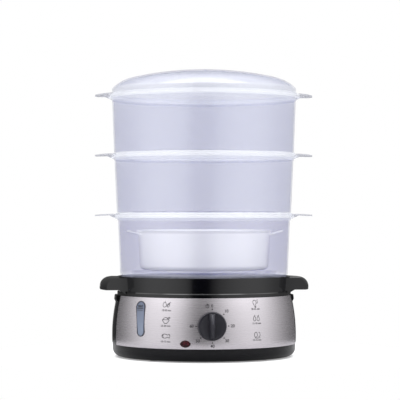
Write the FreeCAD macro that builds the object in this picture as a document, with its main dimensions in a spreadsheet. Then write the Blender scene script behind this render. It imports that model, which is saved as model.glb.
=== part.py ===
import FreeCAD, Part
import math
import os
import re

import Sketcher
from FreeCAD import Placement, Rotation, Vector

# Electric food steamer: a water base with a mechanical timer, a drip tray, three stacked
# steam bowls, a rice bowl and a lid. Millimetres, +Z up, front towards -Y. The origin is on
# the bowls' common axis, in the plane that the five feet stand on.

doc = FreeCAD.newDocument("FoodSteamer")
sheet = doc.addObject("Spreadsheet::Sheet", "Sizes")

SIZES = {
    # clearances
    "fit_gap": 0.3,              # running gap between pieces that part or turn
    "window_cut_start": 100.0,   # cutters of the holes through the front: start and length
    "window_cut_length": 60.0,
    # base: the barrel-shaped outline that housing, steel and windows share
    "belly_radius": 125.4,
    "belly_level": 30.0,
    "barrel_radius": 226.0,      # radius of the outline's vertical curve
    "stand_height": 1.2,         # feet under the housing
    "skirt_foot_radius": 114.5,  # where the skirt's round underside starts
    "skirt_round_level": 10.5,
    "skirt_top": 18.0,
    "shell_top": 84.0,
    "shell_wall": 2.5,
    "steel_wall": 0.6,
    "steel_span": 150.0,         # degrees of the front that the steel covers
    "ear_width": 46.0,
    "ear_proud": 3.2,
    "ear_height": 9.0,
    # water tank
    "tank_wall": 2.5,
    "tank_floor_level": 30.0,
    "tank_top_radius": 113.0,
    "tank_side_gap": 10.05,       # room between the tank's foot and the gauge's seal
    "tank_corner": 6.0,
    "ring_radius": 118.5,
    "ring_height": 5.7,
    "ring_chamfer": 1.2,
    "bay_width": 80.0,           # recess in the tank for the timer
    "bay_distance": 84.0,        # from the axis to the recess's back wall
    "bay_top": 77.0,
    "post_radius": 4.5,
    "post_distance_x": 67.5,
    "post_distance_y": 39.0,
    # water gauge
    "gauge_azimuth": -48.0,
    "gauge_top": 78.6,
    "gauge_bottom": 33.6,
    "gauge_top_width": 15.0,
    "gauge_foot_width": 11.0,
    "gauge_lean": 3.5,           # how far the foot lies to the right of the top
    "gauge_flange": 2.5,
    "gauge_flange_wall": 1.6,
    "gauge_seal_wall": 2.0,
    "gauge_proud": 0.3,
    # bottom cover, feet and screws
    "cover_wall": 2.5,
    "cover_rim_height": 6.0,
    "foot_radius": 9.0,
    "foot_distance": 69.0,
    "foot_socket": 1.0,
    "vent_length": 34.0,
    "vent_width": 4.0,
    "vent_pitch": 9.0,
    "vent_count": 5,
    "screw_radius": 1.6,
    "screw_head_radius": 3.2,
    "screw_head_height": 1.6,
    "cover_screw_length": 14.0,
    # heater
    "plate_radius": 29.5,
    "plate_flange_radius": 36.0,
    "plate_flange_wall": 2.5,
    "plate_depth": 12.0,
    "plate_crown": 2.0,
    "heater_seal_wall": 1.5,
    "heater_clamp_wall": 2.0,
    "heater_clamp_radius": 39.0,
    "heater_screw_distance": 33.0,
    "element_ring_radius": 20.0,
    "element_tube_radius": 3.5,
    "element_sweep": 300.0,
    "element_pin_radius": 1.5,
    "element_pin_length": 17.0,
    "thermostat_radius": 8.5,
    "thermostat_height": 6.0,
    "fuse_radius": 2.0,
    "fuse_length": 12.0,
    "fuse_distance": 12.0,
    "blade_width": 4.0,          # flat contacts of the thermostat and the timer's switch
    "blade_wall": 0.8,
    "blade_length": 6.0,
    "turbo_foot_radius": 44.0,
    "turbo_top_radius": 39.0,
    "turbo_height": 42.0,
    "turbo_wall": 1.8,
    "turbo_notch_width": 14.0,
    "turbo_notch_height": 5.0,
    # timer and knob, on one axis through the front
    "knob_level": 48.2,
    "knob_radius": 19.25,
    "knob_skirt": 5.0,
    "knob_taper": 1.2,           # how far the skirt draws in from back to front
    "knob_rim": 1.2,
    "knob_dish": 2.2,
    "knob_proud": 17.0,
    "knob_gap": 0.8,
    "knob_bore_depth": 9.0,
    "grip_top_width": 12.0,
    "grip_foot_width": 7.0,
    "shaft_radius": 3.0,
    "shaft_hole_radius": 5.0,
    "shaft_flat": 1.8,           # from the shaft's axis to the flat on its end
    "timer_face": 108.5,         # distance from the axis to the back of the timer's plate
    "timer_plate_wall": 1.5,
    "timer_plate_width": 76.0,
    "timer_plate_height": 30.0,
    "timer_screw_pitch": 62.0,
    "timer_screw_length": 9.0,
    "timer_boss_radius": 4.5,
    "timer_case_radius": 24.0,
    "timer_case_depth": 20.0,
    "timer_case_wall": 1.2,
    "cam_radius": 16.0,
    "cam_wall": 2.5,
    "spring_radius": 14.0,
    "spring_height": 7.0,
    "bell_radius": 17.0,
    "bell_wall": 1.0,
    "bell_height": 4.0,
    "bell_round": 3.0,
    "switch_width": 18.0,
    "switch_depth": 12.0,
    "switch_height": 10.0,
    # indicator lamp
    "lamp_azimuth": -16.0,
    "lamp_level": 25.0,
    "lens_width": 14.5,
    "lens_height": 9.3,
    "lens_flange": 2.0,
    "lens_flange_wall": 1.4,
    "lens_proud": 0.8,
    "lamp_radius": 3.0,
    "lamp_length": 13.0,
    "lamp_holder_wall": 1.5,
    "lamp_leg_width": 6.0,
    "lamp_leg_depth": 4.0,
    # mains inlet
    "terminal_width": 36.0,
    "terminal_depth": 16.0,
    "terminal_height": 12.0,
    "terminal_distance": 60.0,
    "terminal_pitch": 11.0,
    "terminal_screw_radius": 1.9,
    "terminal_screw_length": 4.0,
    "terminal_sink_radius": 2.2,
    "terminal_sink_depth": 5.0,
    "gland_level": 22.0,
    "gland_neck_width": 12.0,    # square, so that the gland can't turn in its hole
    "gland_bore_radius": 4.0,
    "gland_flange_radius": 9.5,
    "gland_wall": 2.0,
    "wire_radius": 1.2,
    # drip tray
    "tray_wall": 2.2,
    "tray_foot_radius": 116.0,
    "tray_rim_radius": 117.5,
    "tray_height": 19.8,
    "tray_rim_lip": 1.5,
    "tray_basin_drop": 16.0,     # from the bowl's seat down to the basin's floor
    "tray_lip_depth": 4.7,       # how far the basin's wall reaches into the tank's ring
    "hub_foot_radius": 40.0,
    "hub_top_radius": 36.0,
    "hub_height": 9.0,
    "hub_hole_radius": 5.0,
    "hub_hole_distance": 24.0,
    "hub_hole_count": 8,
    "handle_tip_radius": 142.4,
    "handle_flat_radius": 133.5,
    "handle_top_drop": 1.5,
    "handle_round_height": 15.0,
    "handle_drop": 17.5,
    "handle_width": 96.0,
    "handle_wall": 2.5,
    # steam bowls
    "bowl_wall": 1.8,
    "bowl_height": 87.0,
    "nest_depth": 5.5,
    "bottom_foot_radius": 114.5,
    "bottom_top_radius": 117.4,
    "middle_foot_radius": 118.7,
    "middle_top_radius": 122.2,
    "top_foot_radius": 122.6,
    "top_top_radius": 125.4,
    "lid_radius": 126.0,
    "seat_gap": 0.45,            # between a nested foot and the collar round it
    "bottom_corner": 5.5,
    "nested_corner": 2.0,
    "floor_rise": 8.0,
    "floor_radius": 98.0,
    "floor_hole_radius": 3.2,
    "floor_hole_pitch": 17.0,
    "floor_hole_start": 22.0,
    "floor_hole_rays": 16,
    "tab_tip_radius": 149.0,
    "tab_round_radius": 42.0,
    "tab_wall": 1.8,
    "tab_drop": 0.8,             # from the collar's top to the tab's root
    "tab_droop": 1.6,            # from the tab's root to its tip
    "web_reach": 9.0,
    "web_pitch": 20.0,
    "web_depth": 6.5,
    "web_wall": 1.6,
    # lid
    "lid_wall": 1.8,
    "lid_rim_height": 12.0,
    "lid_shoulder_radius": 101.4,
    "lid_shoulder_height": 14.3,  # from the rim's top edge to the shoulder's start
    "lid_crown_height": 11.7,     # from the shoulder's start to the middle
    "lid_crown_flat": 4.0,        # radius of the level middle
    "lid_mid_radius": 119.5,
    "lid_mid_height": 5.7,
    "lid_vent_radius": 2.0,
    "lid_vent_distance": 26.0,
    "lid_vent_count": 4,
    # rice bowl
    "rice_wall": 2.0,
    "rice_top_radius": 90.5,
    "rice_foot_radius": 88.0,
    "rice_height": 54.0,
    "rice_corner": 7.0,
    "rice_foot_height": 2.0,
    "rice_foot_ring_radius": 62.0,
    "rice_rim_flare": 3.0,
    "rice_rim_height": 4.0,
    "rice_tab_radius": 108.0,
    "rice_tab_width": 44.0,
    "rice_tab_drop": 5.0,
}

for row, (alias, number) in enumerate(SIZES.items(), start=1):
    sheet.set(f"A{row}", alias)
    sheet.set(f"B{row}", str(number))
    sheet.setAlias(f"B{row}", alias)
doc.recompute()

# Levels and radii that follow from the sizes.
DERIVED = {
    "whole_reach": "2 * belly_radius",  # further out than any piece, for slabs across the part
    "corner_mid": "1 - sqrt(0.5)",  # middle of a quarter round, as a share of its radius
    "ring_top": "shell_top + ring_height",
    "tank_floor_top": "tank_floor_level + tank_wall",
    "tank_foot_radius": "belly_radius - gauge_seal_depth - tank_side_gap",
    "recess_depth": "steel_wall + fit_gap / 2",
    "shell_depth": "recess_depth + shell_wall",
    "cover_top": "stand_height + cover_wall",
    "heater_flange_level": "tank_floor_top + heater_seal_wall",
    "plate_bottom": "heater_flange_level - plate_depth + plate_flange_wall",
    "heater_clamp_level": "tank_floor_level - heater_clamp_wall",
    "tray_rim_level": "ring_top + tray_height",
    "bowl_level": "tray_rim_level - tray_rim_lip",
    "basin_level": "bowl_level - tray_basin_drop",
    "basin_radius": "tank_top_radius - tank_wall - 2 * fit_gap",
    "bowl_pitch": "bowl_height - nest_depth",
    "rice_level": "bowl_level + floor_rise",
    "lid_level": "bowl_level + 3 * bowl_pitch",
    "gauge_flange_depth": "shell_depth + gauge_flange_wall",
    "gauge_seal_depth": "gauge_flange_depth + gauge_seal_wall",
    "lens_flange_depth": "shell_depth + lens_flange_wall",
    "knob_back": "panel_face + knob_gap",
    "panel_face": "belly_radius - barrel_radius"
                  " + sqrt(barrel_radius ^ 2 - (knob_level - belly_level) ^ 2)",
    "shaft_end": "knob_back + knob_bore_depth - fit_gap",
    "case_back": "timer_face - timer_case_depth",
}

WORD = re.compile(r"[a-z][a-z_]*[a-z]")


def formula(text):
    """The text with every size and derived name turned into cells of the sheet."""
    def cell(match):
        name = match[0]
        if name in DERIVED:
            return f"({formula(DERIVED[name])})"
        return f"Sizes.{name}" if name in SIZES else name
    return WORD.sub(cell, str(text))


def value(text):
    """The number that a formula comes to."""
    return float(sheet.evalExpression(formula(text)))


def barrel(level, inset="0"):
    """The base's outer radius at a level, drawn in by an inset."""
    return (f"(belly_radius - ({inset}) - barrel_radius"
            f" + sqrt(barrel_radius ^ 2 - (({level}) - belly_level) ^ 2))")


def bind(item, **formulas):
    """Tie an object's properties to the sheet; the names use two underscores for a dot."""
    for name, text in formulas.items():
        item.setExpression(name.replace("__", "."), formula(text))
    return item


# ---------------------------------------------------------------- drawing helpers

def via(x, y):
    """A point that the outline's next arc passes through."""
    return (x, y, "via")


def draw(sketch, outline):
    """Close an outline of lines and arcs; every point's two distances are tied to the sheet."""
    corners = [point for point in outline if len(point) == 2]
    spots = [Vector(value(x), value(y), 0) for x, y in corners]
    middles = {}
    for index, point in enumerate(outline):
        if len(point) == 3:
            middles[sum(len(before) == 2 for before in outline[:index]) - 1] = point[:2]
    ends = []
    for index, start in enumerate(spots):
        end = spots[(index + 1) % len(spots)]
        if index in middles:
            middle = Vector(value(middles[index][0]), value(middles[index][1]), 0)
            forward = (middle - start).cross(end - middle).z > 0
            ends_of_arc = (start, end) if forward else (end, start)
            edge = sketch.addGeometry(Part.Arc(ends_of_arc[0], middle, ends_of_arc[1]))
        else:
            edge = sketch.addGeometry(Part.LineSegment(start, end))
            forward = True
        ends.append((edge, 1 if forward else 2, 2 if forward else 1))
    for index, (edge, first, last) in enumerate(ends):
        following, begin, _ = ends[(index + 1) % len(ends)]
        sketch.addConstraint(Sketcher.Constraint("Coincident", edge, last, following, begin))
    for (edge, first, _), corner in zip(ends, corners):
        pin(sketch, edge, first, corner)
    for index, middle in middles.items():
        spot = Vector(value(middle[0]), value(middle[1]), 0)
        mark = sketch.addGeometry(Part.Point(spot), True)
        pin(sketch, mark, 1, middle)
        sketch.addConstraint(Sketcher.Constraint("PointOnObject", mark, 1, ends[index][0]))


def pin(sketch, edge, end, corner):
    """Hold one point of a sketch at two distances from the origin."""
    for kind, text in zip(("DistanceX", "DistanceY"), corner):
        held = sketch.addConstraint(Sketcher.Constraint(kind, -1, 1, edge, end, value(text)))
        sketch.setExpression(f"Constraints[{held}]", formula(text))


def sketch_on(body, plane, name):
    """A sketch attached to one of the body's own origin planes."""
    sketch = body.newObject("Sketcher::SketchObject", name)
    origin = next(item for item in body.Origin.OriginFeatures if item.Role == plane)
    sketch.AttachmentSupport = [(origin, "")]
    sketch.MapMode = "FlatFace"
    return sketch


def turned(name, outline, span=None):
    """A body turned round Z from an outline of (radius, level) points."""
    body = doc.addObject("PartDesign::Body", name)
    sketch = sketch_on(body, "XZ_Plane", f"{name}Outline")
    draw(sketch, outline)
    turn = body.newObject("PartDesign::Revolution", f"{name}Turn")
    turn.Profile = sketch
    turn.ReferenceAxis = (sketch, ["V_Axis"])
    turn.Angle = 360
    if span:
        turn.Midplane = True
        bind(turn, Angle=span)
    return body


def padded(name, outline, length, start="0", plane="XY_Plane"):
    """A body padded from an outline; its start is measured along the plane's normal."""
    body = doc.addObject("PartDesign::Body", name)
    sketch = sketch_on(body, plane, f"{name}Outline")
    bind(sketch, AttachmentOffset__Base__z=start)
    draw(sketch, outline)
    pad = body.newObject("PartDesign::Pad", f"{name}Pad")
    pad.Profile = sketch
    bind(pad, Length=length)
    return body


def round_pattern(body, spots, radius, count, level, depth):
    """Drill a ray of round holes down through the body and repeat it round Z."""
    name = body.Name
    sketch = sketch_on(body, "XY_Plane", f"{name}Holes")
    bind(sketch, AttachmentOffset__Base__z=level)
    for spot in spots:
        centre = Vector(value(spot), 0, 0)
        edge = sketch.addGeometry(Part.Circle(centre, Vector(0, 0, 1), value(radius)))
        held = sketch.addConstraint(Sketcher.Constraint("Radius", edge, value(radius)))
        sketch.setExpression(f"Constraints[{held}]", formula(radius))
        pin(sketch, edge, 3, (spot, "0"))
    pocket = body.newObject("PartDesign::Pocket", f"{name}Drill")
    pocket.Profile = sketch
    bind(pocket, Length=depth)
    doc.recompute()
    pattern = body.newObject("PartDesign::PolarPattern", f"{name}Pattern")
    pattern.Originals = [pocket]
    pattern.Axis = (sketch, ["N_Axis"])
    pattern.Angle = 360
    bind(pattern, Occurrences=count)
    body.Tip = pattern
    return body


def box(name, x, y, z, length, width, height):
    """A Part::Box from its lowest corner and its three lengths."""
    item = doc.addObject("Part::Box", name)
    return bind(item, Length=length, Width=width, Height=height,
                Placement__Base__x=x, Placement__Base__y=y, Placement__Base__z=z)


def slab(name, width, middle="0"):
    """A slab of a width in Y that reaches past the whole part in X and Z."""
    return box(name, "-whole_reach", f"({middle}) - ({width}) / 2", "0",
               "2 * whole_reach", width, "2 * whole_reach")


def cylinder(name, x, y, z, radius, height):
    """A Part::Cylinder along Z from the middle of its foot."""
    item = doc.addObject("Part::Cylinder", name)
    return bind(item, Radius=radius, Height=height,
                Placement__Base__x=x, Placement__Base__y=y, Placement__Base__z=z)


def rod(name, x, start, level, radius, length, backwards=False):
    """A Part::Cylinder lying towards the front, or the back, from a distance off the axis."""
    item = cylinder(name, x, f"({start})" if backwards else f"-({start})", level,
                    radius, length)
    item.Placement = Placement(Vector(), Rotation(Vector(1, 0, 0), -90 if backwards else 90))
    return item


def cut(name, base, tool):
    item = doc.addObject("Part::Cut", name)
    item.Base = base
    item.Tool = tool
    return item


def common(name, first, second):
    item = doc.addObject("Part::Common", name)
    item.Base = first
    item.Tool = second
    return item


def fuse(name, *pieces):
    item = doc.addObject("Part::MultiFuse", name)
    item.Shapes = list(pieces)
    return item


def group(name, *pieces):
    """Separate solids kept together as one piece, such as a set of screws."""
    item = doc.addObject("Part::Compound", name)
    item.Links = list(pieces)
    return item


def round_z(item, azimuth):
    """Swing an object that was drawn facing the front round Z."""
    item.Placement = Placement(Vector(), Rotation(Vector(0, 0, 1), value(azimuth)))
    return bind(item, Placement__Rotation__Angle=azimuth)


def facing_front(item, level="knob_level"):
    """Lay an object drawn along Z on a level axis, its +Z towards the front."""
    item.Placement = Placement(Vector(0, 0, value(level)), Rotation(Vector(1, 0, 0), 90))
    return bind(item, Placement__Base__z=level)


NODES = []


def node(item, label):
    """Name a finished piece and put it on the list of pieces."""
    item.Label = label
    NODES.append(item)
    return item


# ---------------------------------------------------------------- base shell

def band(name, outer, inner, low, high, span=None):
    """A barrel-shaped band between two insets and two levels."""
    middle = f"(({low}) + ({high})) / 2"
    return turned(name, [
        (barrel(low, inner), low), (barrel(low, outer), low),
        via(barrel(middle, outer), middle), (barrel(high, outer), high),
        (barrel(high, inner), high), via(barrel(middle, inner), middle)], span)


def window_prism(name, outline, azimuth, start="window_cut_start"):
    """An outline in (x, z) padded through the front and swung round Z to its azimuth."""
    prism = padded(name, outline, "window_cut_length", start, plane="XZ_Plane")
    return round_z(prism, azimuth)


def gauge_outline(margin):
    """The gauge window's shape, narrower and further right at its foot, grown by a margin."""
    left = f"-(gauge_top_width / 2 + ({margin}))"
    right = f"gauge_top_width / 2 + ({margin})"
    low_left = f"gauge_lean - gauge_foot_width / 2 - ({margin})"
    low_right = f"gauge_lean + gauge_foot_width / 2 + ({margin})"
    high = "gauge_top - gauge_top_width / 2"
    low = "gauge_bottom + gauge_foot_width / 2"
    return [
        (low_left, low), via("gauge_lean", f"gauge_bottom - ({margin})"),
        (low_right, low), (right, high), via("0", f"gauge_top + ({margin})"), (left, high)]


def lens_outline(margin):
    """The lamp lens's pointed oval, grown by a margin."""
    return [
        (f"-(lens_width / 2 + ({margin}))", "lamp_level"),
        via("0", f"lamp_level - lens_height / 2 - ({margin})"),
        (f"lens_width / 2 + ({margin})", "lamp_level"),
        via("0", f"lamp_level + lens_height / 2 + ({margin})")]


def build_housing():
    """Black outer shell: round skirt, recess for the steel, bosses, window holes and ears."""
    shell = turned("HousingShell", [
        ("skirt_foot_radius - shell_wall", "stand_height"),
        ("skirt_foot_radius", "stand_height"),
        via("skirt_foot_radius + 0.62 * (belly_radius - skirt_foot_radius)",
            "stand_height + 0.3 * (skirt_round_level - stand_height)"),
        (barrel("skirt_round_level"), "skirt_round_level"),
        via(barrel("(skirt_round_level + shell_top) / 2"), "(skirt_round_level + shell_top) / 2"),
        (barrel("shell_top"), "shell_top"),
        (barrel("shell_top", "shell_depth"), "shell_top"),
        via(barrel("(skirt_round_level + shell_top) / 2", "shell_depth"),
            "(skirt_round_level + shell_top) / 2"),
        (barrel("skirt_round_level", "shell_depth"), "skirt_round_level"),
        ("skirt_foot_radius", "cover_top")])
    recess = band("SteelRecess", "-1", "recess_depth", "skirt_top", "shell_top + 1",
                  "steel_span + 0.4")
    round_z(recess, "-90")
    ear_ring = turned("EarRing", [
        (barrel("shell_top - ear_height", "1"), "shell_top - ear_height"),
        (barrel("shell_top - ear_height", "0"), "shell_top - ear_height"),
        (barrel("shell_top - ear_height", "-0.6 * ear_proud"), "shell_top - 0.6 * ear_height"),
        (barrel("shell_top", "-ear_proud"), "shell_top"),
        (barrel("shell_top", "1"), "shell_top")])
    ears = common("Ears", ear_ring, slab("EarSpan", "ear_width"))
    plate_front = "timer_face + timer_plate_wall"
    bosses = [rod(f"TimerBoss{side}", f"{sign}timer_screw_pitch / 2", plate_front,
                  "knob_level", "timer_boss_radius", "belly_radius - timer_face")
              for side, sign in (("Left", "-"), ("Right", ""))]
    inside = turned("InsideOfSkin", [
        ("0", "stand_height"), (barrel("stand_height", "recess_depth + 1"), "stand_height"),
        via(barrel("knob_level", "recess_depth + 1"), "knob_level"),
        (barrel("shell_top", "recess_depth + 1"), "shell_top"), ("0", "shell_top")])
    posts = common("TimerBosses", fuse("BossPair", *bosses), inside)
    body = fuse("HousingSolid", shell, ears, posts)
    gland_hole = gland_neck("GlandHole", "fit_gap / 2", "window_cut_start", "window_cut_length")
    screw_holes = [rod(f"BossHole{side}", f"{sign}timer_screw_pitch / 2",
                       f"{plate_front} - 1", "knob_level", "screw_radius + fit_gap / 3",
                       "timer_screw_length + 2")
                   for side, sign in (("Left", "-"), ("Right", ""))]
    holes = fuse("HousingHoles", recess, *front_holes("Housing"), gland_hole, *screw_holes)
    return node(cut("Housing", body, holes), "housing")


def gland_neck(name, margin, start, length):
    """The square bar through the back wall that the cord gland's neck fills, grown by a margin."""
    half = f"(gland_neck_width / 2 + ({margin}))"
    return box(name, f"-{half}", start, f"gland_level - {half}", f"2 * {half}", length,
               f"2 * {half}")


def front_holes(name):
    """Cutters through the front for the timer's shaft, the gauge window and the lamp's lens."""
    return [
        rod(f"{name}ShaftHole", "0", "window_cut_start", "knob_level", "shaft_hole_radius",
            "window_cut_length"),
        window_prism(f"{name}GaugeHole", gauge_outline("fit_gap / 2"), "gauge_azimuth"),
        window_prism(f"{name}LensHole", lens_outline("fit_gap / 2"), "lamp_azimuth")]


def build_steel_wrap():
    """Brushed steel sheet round the front, with holes for shaft, lamp and gauge."""
    sheet_band = band("SteelBand", "0", "steel_wall", "skirt_top + fit_gap / 2", "shell_top",
                      "steel_span")
    round_z(sheet_band, "-90")
    holes = fuse("SteelHoles", *front_holes("Steel"))
    return node(cut("SteelWrap", sheet_band, holes), "steel_wrap")


# ---------------------------------------------------------------- water tank

def post_spots():
    """Signs of the four screw posts' places, front to back and side to side."""
    return [(f"{a}post_distance_x", f"{b}post_distance_y") for a in ("", "-") for b in ("", "-")]


def build_tank():
    """Tub with a seat ring on the housing, a timer recess, a gauge chamber and four posts."""
    outer = turned("TankOuter", [
        ("0", "tank_floor_level"),
        ("tank_foot_radius - tank_corner", "tank_floor_level"),
        via("tank_foot_radius - corner_mid * tank_corner",
            "tank_floor_level + corner_mid * tank_corner"),
        ("tank_foot_radius", "tank_floor_level + tank_corner"),
        ("tank_top_radius", "shell_top"),
        ("ring_radius", "shell_top"),
        ("ring_radius", "ring_top - ring_chamfer"),
        ("ring_radius - ring_chamfer", "ring_top"),
        ("0", "ring_top")])
    inner = turned("TankInner", [
        ("0", "tank_floor_top"),
        ("tank_foot_radius - tank_corner", "tank_floor_top"),
        via("tank_foot_radius - tank_wall - corner_mid * (tank_corner - tank_wall)",
            "tank_floor_top + corner_mid * (tank_corner - tank_wall)"),
        ("tank_foot_radius - tank_wall", "tank_floor_level + tank_corner"),
        ("tank_top_radius - tank_wall", "shell_top"),
        ("tank_top_radius - tank_wall", "ring_top + 1"),
        ("0", "ring_top + 1")])
    recess = box("TimerRecess", "-bay_width / 2", "-whole_reach", "0",
                 "bay_width", "whole_reach - bay_distance", "bay_top")
    recess_wall = box("TimerRecessWall", "-bay_width / 2 - tank_wall", "-whole_reach", "0",
                      "bay_width + 2 * tank_wall", "whole_reach - bay_distance + tank_wall",
                      "bay_top + tank_wall")
    # The gauge chamber: a short radial duct from the tub to the window's seal.
    reach = turned("ChamberReach", [
        ("0", "tank_floor_level"),
        (barrel("tank_floor_level", "gauge_seal_depth"), "tank_floor_level"),
        via(barrel("(tank_floor_level + shell_top) / 2", "gauge_seal_depth"),
            "(tank_floor_level + shell_top) / 2"),
        (barrel("shell_top", "gauge_seal_depth"), "shell_top"), ("0", "shell_top")])
    chamber_start = "tank_foot_radius - window_cut_length / 4"
    chamber = common("Chamber", reach, window_prism(
        "ChamberPrism", gauge_outline("gauge_flange"), "gauge_azimuth", chamber_start))
    chamber_bore = window_prism("ChamberBore", gauge_outline("0"), "gauge_azimuth",
                                chamber_start)
    posts = [cylinder(f"TankPost{i}", x, y, "cover_top", "post_radius",
                      "tank_floor_level - cover_top + 0.5")
             for i, (x, y) in enumerate(post_spots())]
    post_holes = [cylinder(f"TankPostHole{i}", x, y, "cover_top - 1", "screw_radius + 0.1",
                           "cover_screw_length")
                  for i, (x, y) in enumerate(post_spots())]
    solid = fuse("TankSolid", cut("TankOuterRecessed", outer, recess), chamber, *posts)
    heater_hole = cylinder("HeaterHole", "0", "0", "tank_floor_level - 1",
                           "plate_radius + fit_gap", "tank_wall + 2")
    hollow = fuse("TankHollow", cut("TankInnerRecessed", inner, recess_wall), chamber_bore,
                  heater_hole, *post_holes, *heater_screw_holes("TankScrewHole"))
    return node(cut("WaterTank", solid, hollow), "water_tank")


def heater_screw_spots():
    """Three places round the heater, the first one at the back."""
    spots = []
    for index in range(3):
        angle = f"{90 + 120 * index}"
        spots.append((f"heater_screw_distance * cos({angle} deg)",
                      f"heater_screw_distance * sin({angle} deg)"))
    return spots


def heater_screw_holes(name):
    """Clear holes for the heater's screws, from under the clamp into the plate's flange."""
    return [cylinder(f"{name}{i}", x, y, "heater_clamp_level - 1", "screw_radius + 0.1",
                     "heater_flange_level - heater_clamp_level + 2.6")
            for i, (x, y) in enumerate(heater_screw_spots())]


# ---------------------------------------------------------------- bottom cover, feet, screws

def build_bottom():
    """Bottom cover with a rim and vents, four feet and one under the heater, and screws."""
    plate = turned("CoverPlate", [
        ("0", "stand_height"),
        ("skirt_foot_radius - shell_wall - fit_gap", "stand_height"),
        ("skirt_foot_radius - fit_gap", "cover_top"),
        ("skirt_foot_radius - fit_gap", "cover_top + cover_rim_height"),
        ("skirt_foot_radius - fit_gap - cover_wall", "cover_top + cover_rim_height"),
        ("skirt_foot_radius - fit_gap - cover_wall", "cover_top"),
        ("0", "cover_top")])
    sockets, feet, holes, screws = [], [], [], []
    foot_spots = [(f"{a}foot_distance", f"{b}foot_distance")
                  for a in ("", "-") for b in ("", "-")]
    foot_spots.append(("0", "0"))
    for index, (x, y) in enumerate(foot_spots):
        sockets.append(cylinder(f"FootSocket{index}", x, y, "stand_height - 1",
                                "foot_radius + fit_gap / 2", "1 + foot_socket"))
        feet.append(cylinder(f"Foot{index}", x, y, "0", "foot_radius",
                             "stand_height + foot_socket"))
    for index, (x, y) in enumerate(post_spots()):
        holes.append(cylinder(f"CoverHole{index}", x, y, "0", "screw_radius + 0.1", "20"))
        holes.append(cylinder(f"CoverSink{index}", x, y, "0", "screw_head_radius + fit_gap",
                              "stand_height + screw_head_height / 2"))
        head = cylinder(f"CoverScrewHead{index}", x, y,
                        "stand_height - screw_head_height / 2",
                        "screw_head_radius", "screw_head_height")
        shank = cylinder(f"CoverScrewShank{index}", x, y, "stand_height",
                         "screw_radius", "cover_screw_length - 1")
        screws.append(fuse(f"CoverScrew{index}", head, shank))
    vents = []
    for side in ("", "-"):
        for index in range(int(SIZES["vent_count"])):
            step = f"({index} - (vent_count - 1) / 2) * vent_pitch - vent_width / 2"
            vents.append(box(f"Vent{len(vents)}",
                             f"{side}foot_distance / 2 - vent_length / 2", step, "0",
                             "vent_length", "vent_width", "20"))
    cover = cut("BottomCover", plate, fuse("CoverCuts", *sockets, *holes, *vents))
    node(cover, "bottom_cover")
    node(group("Feet", *feet), "feet")
    node(group("CoverScrews", *screws), "cover_screws")


# ---------------------------------------------------------------- heater

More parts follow.
